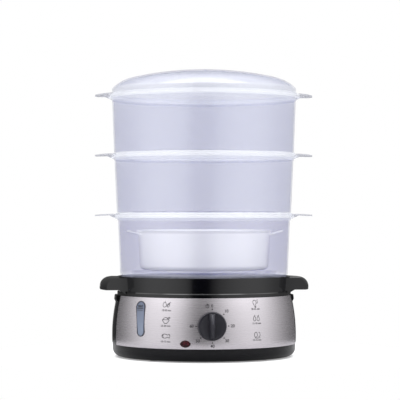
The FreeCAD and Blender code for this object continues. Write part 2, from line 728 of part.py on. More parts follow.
def build_heater():
    """Cast plate in the tank's floor with its seal, clamp, screws, element and thermostat."""
    plate = turned("HeaterPlateBody", [
        ("0", "plate_bottom"),
        ("plate_radius", "plate_bottom"),
        ("plate_radius", "heater_flange_level"),
        ("plate_flange_radius", "heater_flange_level"),
        ("plate_flange_radius", "heater_flange_level + plate_flange_wall"),
        via("0.6 * plate_flange_radius",
            "heater_flange_level + plate_flange_wall + 0.72 * plate_crown"),
        ("0.3 * plate_flange_radius",
         "heater_flange_level + plate_flange_wall + plate_crown"),
        ("0", "heater_flange_level + plate_flange_wall + plate_crown")])
    node(cut("HeaterPlate", plate, fuse("PlateHoles", *heater_screw_holes("PlateScrewHole"))),
         "heater_plate")

    def washer(name, low, high, outer):
        return turned(name, [
            ("plate_radius + fit_gap", low), (outer, low), (outer, high),
            ("plate_radius + fit_gap", high)])

    seal = washer("SealRing", "tank_floor_top", "heater_flange_level", "plate_flange_radius")
    node(cut("HeaterSeal", seal, fuse("SealHoles", *heater_screw_holes("SealScrewHole"))),
         "heater_seal")
    clamp = washer("ClampRing", "heater_clamp_level", "tank_floor_level", "heater_clamp_radius")
    node(cut("HeaterClamp", clamp, fuse("ClampHoles", *heater_screw_holes("ClampScrewHole"))),
         "heater_clamp")
    screws = []
    for index, (x, y) in enumerate(heater_screw_spots()):
        head = cylinder(f"HeaterScrewHead{index}", x, y,
                        "heater_clamp_level - screw_head_height",
                        "screw_head_radius", "screw_head_height")
        shank = cylinder(f"HeaterScrewShank{index}", x, y, "heater_clamp_level - 0.5",
                         "screw_radius", "heater_flange_level - heater_clamp_level + 2")
        screws.append(fuse(f"HeaterScrew{index}", head, shank))
    node(group("HeaterScrews", *screws), "heater_screws")

    ring = doc.addObject("Part::Torus", "ElementTube")
    ring.Placement = Placement(Vector(), Rotation(Vector(0, 0, 1), 120))
    bind(ring, Radius1="element_ring_radius", Radius2="element_tube_radius",
         Angle3="element_sweep", Placement__Base__z="plate_bottom - element_tube_radius",
         Placement__Rotation__Angle="90 + (360 - element_sweep) / 2")
    pins = []
    for index, sign in enumerate(("-", "")):
        pin_rod = cylinder(f"ElementPin{index}", "0", "0", "0", "element_pin_radius",
                           "element_pin_length")
        pin_rod.Placement = Placement(Vector(), Rotation(Vector(1, 0, 0), -90))
        half = "(360 deg - element_sweep * 1 deg) / 2"
        bind(pin_rod, Placement__Base__x=f"{sign}element_ring_radius * sin({half})",
             Placement__Base__y=f"element_ring_radius * cos({half}) - 1.5",
             Placement__Base__z="plate_bottom - element_tube_radius")
        pins.append(pin_rod)
    node(fuse("HeaterElement", ring, *pins), "heater_element")

    can = cylinder("ThermostatCan", "0", "0", "plate_bottom - thermostat_height",
                   "thermostat_radius", "thermostat_height")
    tabs = [box(f"ThermostatTab{i}", f"{s}0.45 * thermostat_radius - blade_width / 2",
                "-blade_wall / 2", "plate_bottom - thermostat_height - blade_length",
                "blade_width", "blade_wall", "blade_length + 0.5")
            for i, s in enumerate(("-", ""))]
    node(fuse("Thermostat", can, *tabs), "thermostat")
    fuse_body = cylinder("FuseBody", "0", "0", "0", "fuse_radius", "fuse_length")
    fuse_body.Placement = Placement(Vector(), Rotation(Vector(0, 1, 0), 90))
    node(bind(fuse_body, Placement__Base__x="-fuse_length / 2",
              Placement__Base__y="-fuse_distance",
              Placement__Base__z="plate_bottom - fuse_radius - fit_gap / 3"), "thermal_fuse")

    turbo = turned("TurboWall", [
        ("turbo_foot_radius - turbo_wall", "tank_floor_top"),
        ("turbo_foot_radius", "tank_floor_top"),
        ("turbo_top_radius", "tank_floor_top + turbo_height"),
        ("turbo_top_radius - turbo_wall", "tank_floor_top + turbo_height")])
    notches = [box(f"TurboNotch{i}", "-60", "-turbo_notch_width / 2", "tank_floor_top - 1",
                   "120", "turbo_notch_width", "turbo_notch_height + 1") for i in range(2)]
    notches[1].Placement = Placement(Vector(), Rotation(Vector(0, 0, 1), 90))
    bind(notches[1], Placement__Base__x="turbo_notch_width / 2", Placement__Base__y="-60")
    node(cut("TurboRing", turbo, fuse("TurboNotches", *notches)), "turbo_ring")


# ---------------------------------------------------------------- gauge and lamp

def build_gauge():
    """Clear window in the front with an inner flange, and the rubber seal behind it."""
    face = common("GaugeFace",
                  band("GaugeSkin", "-gauge_proud", "gauge_flange_depth",
                       "gauge_bottom - 10", "gauge_top + 4"),
                  window_prism("GaugeFacePrism", gauge_outline("0"), "gauge_azimuth"))
    flange = common("GaugeFlange",
                    band("GaugeInnerSkin", "shell_depth", "gauge_flange_depth",
                         "gauge_bottom - 10", "gauge_top + 4"),
                    window_prism("GaugeFlangePrism", gauge_outline("gauge_flange"),
                                 "gauge_azimuth"))
    node(fuse("GaugeWindow", face, flange), "gauge_window")
    ring = cut("GaugeSealPrism",
               window_prism("GaugeSealOuter", gauge_outline("gauge_flange"), "gauge_azimuth"),
               window_prism("GaugeSealInner", gauge_outline("0"), "gauge_azimuth"))
    seal = common("GaugeSeal", band("GaugeSealSkin", "gauge_flange_depth", "gauge_seal_depth",
                                    "gauge_bottom - 10", "gauge_top + 4"), ring)
    node(seal, "gauge_seal")


def build_lamp():
    """Red lens in the front, the neon lamp behind it and its clip."""
    face = common("LensFace",
                  band("LensSkin", "-lens_proud", "lens_flange_depth",
                       "lamp_level - lens_height", "lamp_level + lens_height"),
                  window_prism("LensFacePrism", lens_outline("0"), "lamp_azimuth"))
    flange = common("LensFlange",
                    band("LensInnerSkin", "shell_depth", "lens_flange_depth",
                         "lamp_level - lens_height", "lamp_level + lens_height"),
                    window_prism("LensFlangePrism", lens_outline("lens_flange"),
                                 "lamp_azimuth"))
    node(fuse("IndicatorLens", face, flange), "indicator_lens")
    rear = f"{barrel('lamp_level', 'lens_flange_depth + 1')} - lamp_length"
    bulb = rod("NeonTube", "0", rear, "lamp_level", "lamp_radius", "lamp_length")
    node(round_z(group("NeonLamp", bulb), "lamp_azimuth"), "neon_lamp")
    sleeve = rod("LampSleeve", "0", f"{rear} - lamp_leg_depth / 2", "lamp_level",
                 "lamp_radius + fit_gap + lamp_holder_wall", "lamp_length")
    leg = box("LampLeg", "-lamp_leg_width / 2", f"-({rear} + lamp_leg_depth / 2)", "cover_top",
              "lamp_leg_width", "lamp_leg_depth", "lamp_level - cover_top - lamp_radius")
    bore = rod("LampSleeveBore", "0", rear, "lamp_level", "lamp_radius + fit_gap",
               "1.5 * lamp_length")
    holder = cut("LampHolderSolid", fuse("LampHolderParts", sleeve, leg), bore)
    node(round_z(group("LampHolder", holder), "lamp_azimuth"), "lamp_holder")


# ---------------------------------------------------------------- timer and knob

def disc(name, radius, start, length, bore="0"):
    """A round piece on the timer's axis, from a distance in front of the bowls' axis."""
    end = f"({start}) + ({length})"
    return turned(name, [(bore, start), (radius, start), (radius, end), (bore, end)])


def flat_cutter(name, gap="0"):
    """A block that cuts the flat on the shaft's end, or leaves it in the knob's bore."""
    return box(name, "-shaft_hole_radius", f"shaft_flat + {gap}", "knob_back + 0.5",
               "2 * shaft_hole_radius", "2 * shaft_hole_radius", "2 * knob_proud")


def build_timer():
    """Wind-up timer behind the front: case, plate, shaft, cam, spring, bell and switch."""
    cup = turned("TimerCup", [
        ("shaft_radius + fit_gap", "case_back"),
        ("timer_case_radius", "case_back"),
        ("timer_case_radius", "timer_face"),
        ("timer_case_radius - timer_case_wall", "timer_face"),
        ("timer_case_radius - timer_case_wall", "case_back + timer_case_wall"),
        ("shaft_radius + fit_gap", "case_back + timer_case_wall")])
    node(facing_front(cup), "timer_case")

    plate = box("PlateBlank", "-timer_plate_width / 2", "-timer_plate_height / 2", "timer_face",
                "timer_plate_width", "timer_plate_height", "timer_plate_wall")
    plate_holes = [disc("PlateShaftHole", "shaft_radius + fit_gap", "timer_face - 1",
                        "timer_plate_wall + 2")]
    for index, sign in enumerate(("-", "")):
        plate_holes.append(cylinder(f"PlateScrewHole_{index}", f"{sign}timer_screw_pitch / 2",
                                    "0", "timer_face - 1", "screw_radius + 0.1",
                                    "timer_plate_wall + 2"))
    plate_cut = cut("PlateDrilled", plate, fuse("PlateCuts", *plate_holes))
    node(facing_front(group("TimerPlate", plate_cut)), "timer_plate")

    screws = []
    for index, sign in enumerate(("-", "")):
        x = f"{sign}timer_screw_pitch / 2"
        head = cylinder(f"TimerScrewHead{index}", x, "0", "timer_face - screw_head_height",
                        "screw_head_radius", "screw_head_height")
        shank = cylinder(f"TimerScrewShank{index}", x, "0", "timer_face - 0.5",
                         "screw_radius", "timer_screw_length")
        screws.append(fuse(f"TimerScrew{index}", head, shank))
    node(facing_front(group("TimerScrews", *screws)), "timer_screws")

    shaft = disc("ShaftRod", "shaft_radius", "case_back - 1", "shaft_end - case_back + 1")
    node(facing_front(group("TimerShaft", cut("ShaftCut", shaft, flat_cutter("ShaftFlat")))),
         "timer_shaft")

    cam = disc("CamDisc", "cam_radius", "timer_face - cam_wall - 1", "cam_wall",
               "shaft_radius + 0.02")
    notch = box("CamNotch", "-2.5", "cam_radius - 3", "timer_face - 10", "5", "10", "20")
    node(facing_front(group("TimerCam", cut("CamCut", cam, notch))), "timer_cam")

    coil = disc("SpringCoil", "spring_radius", "case_back + timer_case_wall + fit_gap",
                "spring_height", "shaft_radius + fit_gap")
    node(facing_front(coil), "timer_mainspring")

    bell = turned("BellCup", [
        ("2 * shaft_radius", "case_back - bell_height"),
        ("bell_radius - bell_round", "case_back - bell_height"),
        via("bell_radius - 0.3 * bell_round", "case_back - bell_height + 0.3 * bell_round"),
        ("bell_radius", "case_back"),
        ("bell_radius - bell_wall", "case_back"),
        via("bell_radius - 0.53 * bell_round", "case_back - 0.6 * bell_height"),
        ("bell_radius - 1.13 * bell_round", "case_back - bell_height + bell_wall"),
        ("2 * shaft_radius", "case_back - bell_height + bell_wall")])
    node(facing_front(bell), "timer_bell")

    block = box("SwitchBlock", "-switch_width / 2",
                "-(timer_case_radius + switch_height + fit_gap)",
                "timer_face - switch_depth", "switch_width", "switch_height", "switch_depth")
    blades = [box(f"SwitchBlade{i}", f"{s}switch_width / 3.6 - blade_width / 2",
                  "-(timer_case_radius + switch_height / 2 + fit_gap)",
                  "timer_face - switch_depth - blade_length",
                  "blade_width", "blade_wall", "blade_length + 0.5")
              for i, s in enumerate(("-", ""))]
    node(facing_front(fuse("TimerSwitch", block, *blades)), "timer_switch")


def build_knob():
    """Round knob with a dished face and a tapering grip across it."""
    rim = "knob_radius - knob_taper"
    body = turned("KnobBody", [
        ("0", "knob_back"),
        ("knob_radius", "knob_back"),
        (rim, "knob_back + knob_skirt"),
        (f"{rim} - knob_rim", "knob_back + knob_skirt"),
        via("0.6 * knob_radius", "knob_back + knob_skirt - 0.8 * knob_dish"),
        ("0.3 * knob_radius", "knob_back + knob_skirt - knob_dish"),
        ("0", "knob_back + knob_skirt - knob_dish")])
    grip = padded("KnobGrip", [
        ("-grip_foot_width / 2", f"-({rim} - 0.7 * knob_rim)"),
        via("0", f"-({rim})"),
        ("grip_foot_width / 2", f"-({rim} - 0.7 * knob_rim)"),
        ("grip_top_width / 2", f"{rim} - knob_rim"),
        via("0", rim),
        ("-grip_top_width / 2", f"{rim} - knob_rim")],
        "knob_proud", "knob_back + 1.5")
    reach = f"({rim} - 1.2 * knob_rim)"
    arch = padded("KnobArch", [
        (f"-{reach}", "knob_back + 1"), (reach, "knob_back + 1"),
        (reach, "knob_back + 0.45 * knob_proud"),
        via("0", "knob_back + knob_proud - knob_gap"),
        (f"-{reach}", "knob_back + 0.45 * knob_proud")],
        "2 * knob_radius", "-knob_radius", plane="YZ_Plane")
    solid = fuse("KnobSolid", body, common("KnobGripRound", grip, arch))
    bore = cut("KnobBore",
               disc("KnobBoreRound", "shaft_radius + 0.02", "knob_back - 1",
                    "knob_bore_depth + 1"),
               flat_cutter("KnobBoreFlat", "0.02"))
    node(facing_front(group("Knob", cut("KnobCut", solid, bore))), "knob")


# ---------------------------------------------------------------- mains inlet and leads

def build_inlet():
    """Terminal block on the bottom cover and the grommet that the cord would leave by."""
    block = box("TerminalBlank", "-terminal_width / 2", "terminal_distance - terminal_depth / 2",
                "cover_top", "terminal_width", "terminal_depth", "terminal_height")
    heads, sinks = [], []
    for index in (-1, 0, 1):
        x = f"{index} * terminal_pitch"
        bottom = "cover_top + terminal_height - terminal_sink_depth"
        sinks.append(cylinder(f"TerminalSink{index + 1}", x, "terminal_distance", bottom,
                              "terminal_sink_radius", "2 * terminal_sink_depth"))
        heads.append(cylinder(f"TerminalScrew{index + 1}", x, "terminal_distance", bottom,
                              "terminal_screw_radius", "terminal_screw_length"))
    node(cut("TerminalBlock", block, fuse("TerminalSinks", *sinks)), "terminal_block")
    node(group("TerminalScrews", *heads), "terminal_screws")

    reach = "gland_flange_radius"
    inner = f"sqrt({barrel('gland_level - ' + reach, 'shell_depth')} ^ 2 - {reach} ^ 2)"
    outer = "belly_radius + 0.05"
    sleeve = turned("GlandSleeve", [
        ("gland_bore_radius", f"{inner} - gland_wall"),
        (reach, f"{inner} - gland_wall"),
        (reach, inner),
        ("gland_bore_radius + gland_wall / 2", inner),
        ("gland_bore_radius + gland_wall / 2", outer),
        (reach, outer),
        (reach, f"{outer} + gland_wall"),
        ("gland_bore_radius", f"{outer} + gland_wall")])
    sleeve.Placement = Placement(Vector(), Rotation(Vector(1, 0, 0), -90))
    bind(sleeve, Placement__Base__z="gland_level")
    neck = cut("GlandNeck", gland_neck("GlandNeckBar", "0", inner, f"{outer} - {inner}"),
               rod("GlandNeckBore", "0", f"{inner} - 1", "gland_level", "gland_bore_radius",
                   f"{outer} - {inner} + 2", backwards=True))
    node(fuse("CordGland", sleeve, neck), "cord_gland")


def lead(label, points):
    """A round wire along straight runs; an arc takes 0.45 of the shorter run at each corner."""
    spots = [Vector(*(value(part) for part in point)) for point in points]
    edges = []
    start = spots[0]
    for before, corner, after in zip(spots, spots[1:], spots[2:]):
        arriving = (corner - before).normalize()
        leaving = (after - corner).normalize()
        turn = arriving.getAngle(leaving)
        trim = 0.45 * min((corner - before).Length, (after - corner).Length)
        first, last = corner - arriving * trim, corner + leaving * trim
        radius = trim / math.tan(turn / 2)
        inward = (leaving - arriving).normalize()
        centre = corner + inward * (radius / math.cos(turn / 2))
        middle = centre - inward * radius
        edges.append(Part.LineSegment(start, first).toShape())
        edges.append(Part.Arc(first, middle, last).toShape())
        start = last
    edges.append(Part.LineSegment(start, spots[-1]).toShape())
    path = Part.Wire(edges)
    heading = spots[1] - spots[0]
    rim = Part.Wire(Part.Circle(spots[0], heading, value("wire_radius")).toShape())
    item = doc.addObject("Part::Feature", label.title().replace("_", ""))
    item.Shape = path.makePipeShell([rim], True, False)
    return node(item, label)


def build_leads():
    """Four insulated wires between the terminal block, the timer's switch and the heater."""
    entry = "terminal_distance - terminal_depth / 2"
    low = "cover_top + 4"
    pin_x = "element_ring_radius * sin((360 deg - element_sweep * 1 deg) / 2)"
    pin_y = ("element_ring_radius * cos((360 deg - element_sweep * 1 deg) / 2)"
             " - 1.5 + element_pin_length")
    pin_z = "plate_bottom - element_tube_radius"
    blade_z = "knob_level - timer_case_radius - (switch_height - blade_wall) / 2 - fit_gap"
    blade_y = "-(timer_face - switch_depth - blade_length)"
    lead("wire_neutral", [
        ("terminal_pitch", entry, low), ("terminal_pitch", f"{entry} - 6", low),
        (pin_x, f"{pin_y} + 6", pin_z), (pin_x, pin_y, pin_z)])
    lead("wire_live", [
        ("-terminal_pitch", entry, low), ("-terminal_pitch", f"{entry} - 8", low),
        ("-46", "20", low), ("-50", "-24", low), ("-32", "-62", low),
        ("-9", "-74", blade_z), ("-5", f"{blade_y} + 8", blade_z), ("-5", blade_y, blade_z)])
    lead("wire_load", [
        (f"-({pin_x})", pin_y, pin_z), (f"-({pin_x})", f"{pin_y} + 5", pin_z),
        ("-24", f"{pin_y} + 4", pin_z), ("-36", "18", "cover_top + 9"),
        ("-36", "-20", "cover_top + 9"), ("-20", "-52", "cover_top + 9"),
        ("5", "-72", blade_z), ("5", blade_y, blade_z)])
    lead("wire_earth", [
        ("0", entry, low), ("0", f"{entry} - 5", low),
        ("0", "heater_screw_distance", "cover_top + 9"),
        ("0", "heater_screw_distance", "heater_clamp_level - screw_head_height - 0.05")])


# ---------------------------------------------------------------- drip tray

def build_tray():
    """Gloss tray: skirt, seat for the bowl, basin, steam hub and two hooded handles."""
    under = "basin_level - tray_wall"
    seat_under = "bowl_level - tray_wall"
    pan = turned("TrayPan", [
        ("0", "basin_level + hub_height - tray_wall"),
        ("hub_top_radius - tray_wall", "basin_level + hub_height - tray_wall"),
        ("hub_foot_radius - tray_wall", under),
        ("basin_radius - tray_wall", under),
        ("basin_radius - tray_wall", "ring_top - tray_lip_depth"),
        ("basin_radius", "ring_top - tray_lip_depth"),
        ("basin_radius", seat_under),
        ("tray_rim_radius - 2 * tray_wall + 0.4", seat_under),
        ("tray_foot_radius - tray_wall", "ring_top"),
        ("tray_foot_radius", "ring_top"),
        ("tray_rim_radius", "tray_rim_level"),
        ("tray_rim_radius - tray_wall", "tray_rim_level"),
        ("tray_rim_radius - tray_wall", "bowl_level"),
        ("basin_radius - tray_wall", "bowl_level"),
        ("basin_radius - tray_wall", "basin_level"),
        ("hub_foot_radius", "basin_level"),
        ("hub_top_radius", "basin_level + hub_height"),
        ("0", "basin_level + hub_height")])
    round_pattern(pan, ["hub_hole_distance"], "hub_hole_radius", "hub_hole_count",
                  "basin_level + hub_height + 1", "tray_wall + 2")

    top = "tray_rim_level - handle_top_drop"
    low = "tray_rim_level - handle_drop"
    hood_ring = turned("HoodRing", [
        ("tray_foot_radius - 0.2", "ring_top + 0.5"),
        ("ring_radius + 0.9", "ring_top + 0.5"),
        ("ring_radius + 0.9", f"{low} - 5"),
        ("ring_radius + 9", low),
        ("handle_tip_radius", low),
        ("handle_tip_radius", f"{top} - handle_round_height"),
        via("handle_flat_radius + 0.68 * (handle_tip_radius - handle_flat_radius)",
            f"{top} - 0.27 * handle_round_height"),
        ("handle_flat_radius", top),
        ("tray_foot_radius - 0.2", top)])
    hood = common("Hood", hood_ring, slab("HoodSpan", "handle_width"))
    cavity_ring = turned("HoodCavityRing", [
        ("tray_rim_radius + 0.4", "0"),
        ("handle_tip_radius - handle_wall", "0"),
        ("handle_tip_radius - handle_wall", f"{top} - handle_round_height"),
        via("handle_flat_radius - 0.4 + 0.68 * (handle_tip_radius - handle_flat_radius - handle_wall)",
            f"{top} - handle_wall - 0.27 * (handle_round_height - handle_wall)"),
        ("handle_flat_radius - 0.4", f"{top} - handle_wall"),
        ("tray_rim_radius + 0.4", f"{top} - handle_wall")])
    cavity = common("HoodCavity", cavity_ring,
                    slab("HoodCavitySpan", "handle_width - 2 * handle_wall"))
    node(fuse("DripTray", pan, cut("Hoods", hood, cavity)), "drip_tray")


# ---------------------------------------------------------------- steam bowls, rice bowl, lid

def build_bowl(tier, label, foot_radius, top_radius, nested_radius, corner):
    """A tapering bowl with a raised holed floor, a collar that seats the next piece, and tabs."""
    name = label.title().replace("_", "")
    foot = f"(bowl_level + {tier} * bowl_pitch)"
    rim = f"({foot} + bowl_height)"
    ledge = f"({rim} - nest_depth)"
    rise = f"({foot} + floor_rise)"
    collar_in = f"({nested_radius} + seat_gap)"
    collar_out = f"({collar_in} + bowl_wall)"
    inner_corner = f"max({corner} - bowl_wall; 0.4)"
    shell = turned(f"{name}Shell", [
        ("0", f"{rise} - bowl_wall"),
        ("floor_radius - bowl_wall", f"{rise} - bowl_wall"),
        ("floor_radius", foot),
        (f"{foot_radius} - {corner}", foot),
        via(f"{foot_radius} - corner_mid * {corner}", f"{foot} + corner_mid * {corner}"),
        (foot_radius, f"{foot} + {corner}"),
        (top_radius, f"{ledge} - bowl_wall"),
        (collar_out, f"{ledge} - bowl_wall"),
        (collar_out, rim),
        (collar_in, rim),
        (collar_in, ledge),
        (f"{top_radius} - bowl_wall", ledge),
        (f"{foot_radius} - bowl_wall", f"{foot} + bowl_wall + {inner_corner}"),
        via(f"{foot_radius} - bowl_wall - corner_mid * {inner_corner}",
            f"{foot} + bowl_wall + corner_mid * {inner_corner}"),
        (f"{foot_radius} - bowl_wall - {inner_corner}", f"{foot} + bowl_wall"),
        ("floor_radius + bowl_wall", f"{foot} + bowl_wall"),
        ("floor_radius", rise),
        ("0", rise)])
    rays = [f"floor_hole_start + {i} * floor_hole_pitch" for i in range(5)]
    round_pattern(shell, rays, "floor_hole_radius", "floor_hole_rays", f"{rise} + 1",
                  "bowl_wall + 2")

    root = f"({rim} - tab_drop)"
    tab_ring = turned(f"{name}TabRing", [
        (f"{collar_out} - 0.6", f"{root} - tab_wall"),
        via("0.55 * tab_tip_radius + 0.45 * (" + collar_out + ")",
            f"{root} - tab_wall - 0.3 * tab_droop"),
        ("tab_tip_radius + 1", f"{root} - tab_wall - tab_droop"),
        ("tab_tip_radius + 1", f"{root} - tab_droop"),
        via("0.55 * tab_tip_radius + 0.45 * (" + collar_out + ")", f"{root} - 0.3 * tab_droop"),
        (f"{collar_out} - 0.6", root)])
    discs = [cylinder(f"{name}TabDisc{i}", f"{s}(tab_tip_radius - tab_round_radius)", "0",
                      f"{root} - 20", "tab_round_radius", "40") for i, s in enumerate(("", "-"))]
    tabs = common(f"{name}Tabs", tab_ring, fuse(f"{name}TabDiscs", *discs))
    web_ring = turned(f"{name}WebRing", [
        (f"{collar_out} - 0.6", f"{rim} - tab_drop - web_depth"),
        (f"{collar_out}", f"{rim} - tab_drop - web_depth"),
        (f"{collar_out} + web_reach", f"{root} - tab_wall - 0.3"),
        (f"{collar_out} - 0.6", f"{root} - tab_wall + 0.2")])
    slices = [slab(f"{name}WebSlice{i}", "web_wall", f"{i - 1} * web_pitch")
              for i in range(3)]
    webs = common(f"{name}Webs", web_ring, fuse(f"{name}WebSlices", *slices))
    return node(fuse(name, shell, tabs, webs), label)


def build_rice_bowl():
    """Solid-walled bowl on a foot ring, with a flared rim and two lifting wings."""
    floor = "rice_level + rice_foot_height"
    rim = "rice_level + rice_height + rice_foot_height"
    inner_corner = "rice_corner - rice_wall"
    shell = turned("RiceShell", [
        ("0", floor),
        ("rice_foot_ring_radius - rice_wall", floor),
        ("rice_foot_ring_radius - rice_wall", "rice_level"),
        ("rice_foot_ring_radius", "rice_level"),
        ("rice_foot_ring_radius", floor),
        ("rice_foot_radius - rice_corner", floor),
        via("rice_foot_radius - corner_mid * rice_corner", f"{floor} + corner_mid * rice_corner"),
        ("rice_foot_radius", f"{floor} + rice_corner"),
        ("rice_top_radius", f"{rim} - rice_rim_height"),
        ("rice_top_radius + rice_rim_flare", rim),
        ("rice_top_radius + rice_rim_flare - rice_wall", rim),
        ("rice_top_radius - rice_wall", f"{rim} - rice_rim_height"),
        ("rice_foot_radius - rice_wall", f"{floor} + rice_corner"),
        via(f"rice_foot_radius - rice_wall - corner_mid * ({inner_corner})",
            f"{floor} + rice_wall + corner_mid * ({inner_corner})"),
        ("rice_foot_radius - rice_corner", f"{floor} + rice_wall"),
        ("0", f"{floor} + rice_wall")])
    wing_ring = turned("RiceWingRing", [
        ("rice_top_radius - 1", f"{rim} - rice_tab_drop - rice_wall"),
        ("rice_tab_radius", f"{rim} - rice_wall"),
        ("rice_tab_radius", rim),
        ("rice_tab_radius - rice_wall", rim),
        ("rice_top_radius - 1", f"{rim} - rice_tab_drop")])
    wings = common("RiceWings", wing_ring, slab("RiceWingSpan", "rice_tab_width"))
    return node(fuse("RiceBowl", shell, wings), "rice_bowl")


def build_lid():
    """Domed lid whose rim stands in the top bowl's collar, with steam vents in its crown."""
    edge = "(lid_level + lid_rim_height)"
    shoulder = f"({edge} + lid_shoulder_height)"
    crown = f"({shoulder} + lid_crown_height)"
    crown_curve = "((lid_shoulder_radius ^ 2 + lid_crown_height ^ 2) / (2 * lid_crown_height))"
    half = "0.5 * lid_shoulder_radius"
    sag = f"({crown_curve} - sqrt({crown_curve} ^ 2 - ({half}) ^ 2))"
    shell = turned("LidShell", [
        ("lid_radius - lid_wall", "lid_level"),
        ("lid_radius", "lid_level"),
        ("lid_radius", edge),
        via("lid_mid_radius", f"{edge} + lid_mid_height"),
        ("lid_shoulder_radius", shoulder),
        via(half, f"{crown} - {sag}"),
        ("lid_crown_flat", crown),
        ("0", crown),
        ("0", f"{crown} - lid_wall"),
        ("lid_crown_flat", f"{crown} - lid_wall"),
        via(half, f"{crown} - {sag} - lid_wall"),
        ("lid_shoulder_radius - 0.25 * lid_wall", f"{shoulder} - 0.97 * lid_wall"),
        via("lid_mid_radius - 0.6 * lid_wall", f"{edge} + lid_mid_height - 0.8 * lid_wall"),
        ("lid_radius - lid_wall", f"{edge} - 0.4 * lid_wall")])
    round_pattern(shell, ["lid_vent_distance"], "lid_vent_radius", "lid_vent_count",
                  f"{crown} + 1", "lid_wall + 6")
    return node(shell, "lid")


build_housing()
build_steel_wrap()
build_tank()
build_bottom()
build_heater()
build_gauge()
build_lamp()
build_timer()
build_knob()
build_inlet()
build_leads()
build_tray()
build_bowl(0, "steam_bowl_bottom", "bottom_foot_radius", "bottom_top_radius",
           "middle_foot_radius", "bottom_corner")
build_bowl(1, "steam_bowl_middle", "middle_foot_radius", "middle_top_radius",
           "top_foot_radius", "nested_corner")
build_bowl(2, "steam_bowl_top", "top_foot_radius", "top_top_radius", "lid_radius",
           "nested_corner")
build_rice_bowl()
build_lid()
doc.recompute()

for item in doc.Objects:
    if {"Invalid", "Error"} & set(item.State):
        raise RuntimeError(f"{item.Name} did not build: {item.State}")
for item in NODES:
    if item.Shape.isNull() or not item.Shape.isValid() or not item.Shape.Solids:
        raise RuntimeError(f"{item.Label} has no valid shape")

os.makedirs("parts", exist_ok=True)
for item in NODES:
    item.Shape.exportStep(f"parts/{item.Label}.step")
    print(f"{item.Label}: {len(item.Shape.Solids)} solids, {item.Shape.Volume:.0f} mm3")
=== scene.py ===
import math

import bpy
import numpy as np
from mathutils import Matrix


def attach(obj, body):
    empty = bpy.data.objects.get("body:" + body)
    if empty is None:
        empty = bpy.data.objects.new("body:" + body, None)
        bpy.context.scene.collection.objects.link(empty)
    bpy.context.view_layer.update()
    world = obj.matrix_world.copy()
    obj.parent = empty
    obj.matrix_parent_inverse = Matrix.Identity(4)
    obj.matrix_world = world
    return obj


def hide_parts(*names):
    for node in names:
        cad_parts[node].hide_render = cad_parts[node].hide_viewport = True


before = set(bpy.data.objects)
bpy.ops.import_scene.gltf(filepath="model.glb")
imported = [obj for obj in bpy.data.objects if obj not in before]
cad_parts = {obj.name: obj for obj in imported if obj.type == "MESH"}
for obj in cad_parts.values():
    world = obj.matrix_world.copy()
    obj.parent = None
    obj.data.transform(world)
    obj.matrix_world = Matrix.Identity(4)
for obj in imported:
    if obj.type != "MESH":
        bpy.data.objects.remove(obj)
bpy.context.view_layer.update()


# ---------------------------------------------------------------- where it is looked at from
# A long lens nearly ten body widths away and level with the middle bowl's floor, so that the
# walls stay upright. It stands a little to the gauge's side of the knob.

LOOK_DISTANCE = 2.42
LOOK_LEVEL = 0.194
LOOK_AZIMUTH = math.radians(-4.8)
LOOK_UP = math.radians(0.45)
LOOK_ASIDE = math.radians(0.129)
LENS = 159.2
SENSOR_WIDTH = 36.0

camera = bpy.data.objects.new("camera", bpy.data.cameras.new("camera"))
camera.data.lens = LENS
camera.data.sensor_width = SENSOR_WIDTH
camera.location = (LOOK_DISTANCE * math.sin(LOOK_AZIMUTH),
                   -LOOK_DISTANCE * math.cos(LOOK_AZIMUTH), LOOK_LEVEL)
camera.rotation_euler = (math.pi / 2 + LOOK_UP, 0, LOOK_AZIMUTH + LOOK_ASIDE)
bpy.context.scene.collection.objects.link(camera)
bpy.context.scene.camera = camera


# ---------------------------------------------------------------- studio round it
# Two tall soft boxes at the sides and one overhead, a dark gap between them where one stands to
# look, and dim corners behind. Plain white shows past the object wherever it is looked at from.
# The stacked see-through walls need more passes than usual before light gives up on them.


class Shade:
    """One socket of a shader. Arithmetic on it adds Math nodes, also with a number on the left."""

    def __init__(self, socket):
        self.socket = socket

    @classmethod
    def node(cls, tree, kind, settings, sockets, out=0):
        """A new node from its settings, and a value or a link for each socket; one output of it."""
        made = tree.nodes.new(kind)
        for name, value in settings.items():
            if name == "stops":
                made.color_ramp.interpolation = "B_SPLINE"
                while len(made.color_ramp.elements) < len(value):
                    made.color_ramp.elements.new(0.5)
                for stop, (place, level) in zip(made.color_ramp.elements, value):
                    stop.position, stop.color = place, (level, level, level, 1.0)
            else:
                setattr(made, name, value)
        for key, value in sockets.items():
            if isinstance(value, cls):
                tree.links.new(value.socket, made.inputs[key])
            else:
                made.inputs[key].default_value = value
        return cls(made.outputs[out])

    def out(self, name):
        """Another output of the same node."""
        return Shade(self.socket.node.outputs[name])

    def math(self, operation, *values):
        """A Math node with this operation on the values."""
        return Shade.node(self.socket.id_data, "ShaderNodeMath", {"operation": operation},
                          dict(enumerate(values)))

    def __add__(self, other):
        return self.math("ADD", self, other)

    __radd__ = __add__

    def __mul__(self, other):
        return self.math("MULTIPLY", self, other)

    __rmul__ = __mul__

    def __sub__(self, other):
        return self.math("SUBTRACT", self, other)

    def __rsub__(self, other):
        return self.math("SUBTRACT", other, self)

    def __abs__(self):
        return self.math("ABSOLUTE", self)

    def between(self, low, high):
        """Nought below the one number, one above the other, with a soft step between them."""
        return Shade.node(self.socket.id_data, "ShaderNodeMapRange",
                          {"interpolation_type": "SMOOTHSTEP"},
                          {"Value": self, "From Min": low, "From Max": high})


PLAIN_LIGHT = 0.95
OVERHEAD_LIGHT = 1.25
SHINE_ABOVE = 1.75
LAMP_ABOVE_LIGHT = 2.2
BOX_LIGHT = 1.6
WALL_PASSES = 40
BOX_TOP_GAIN = 0.15
LOW_LOSS = 0.2
LOW_SIDE_LOSS = 0.22
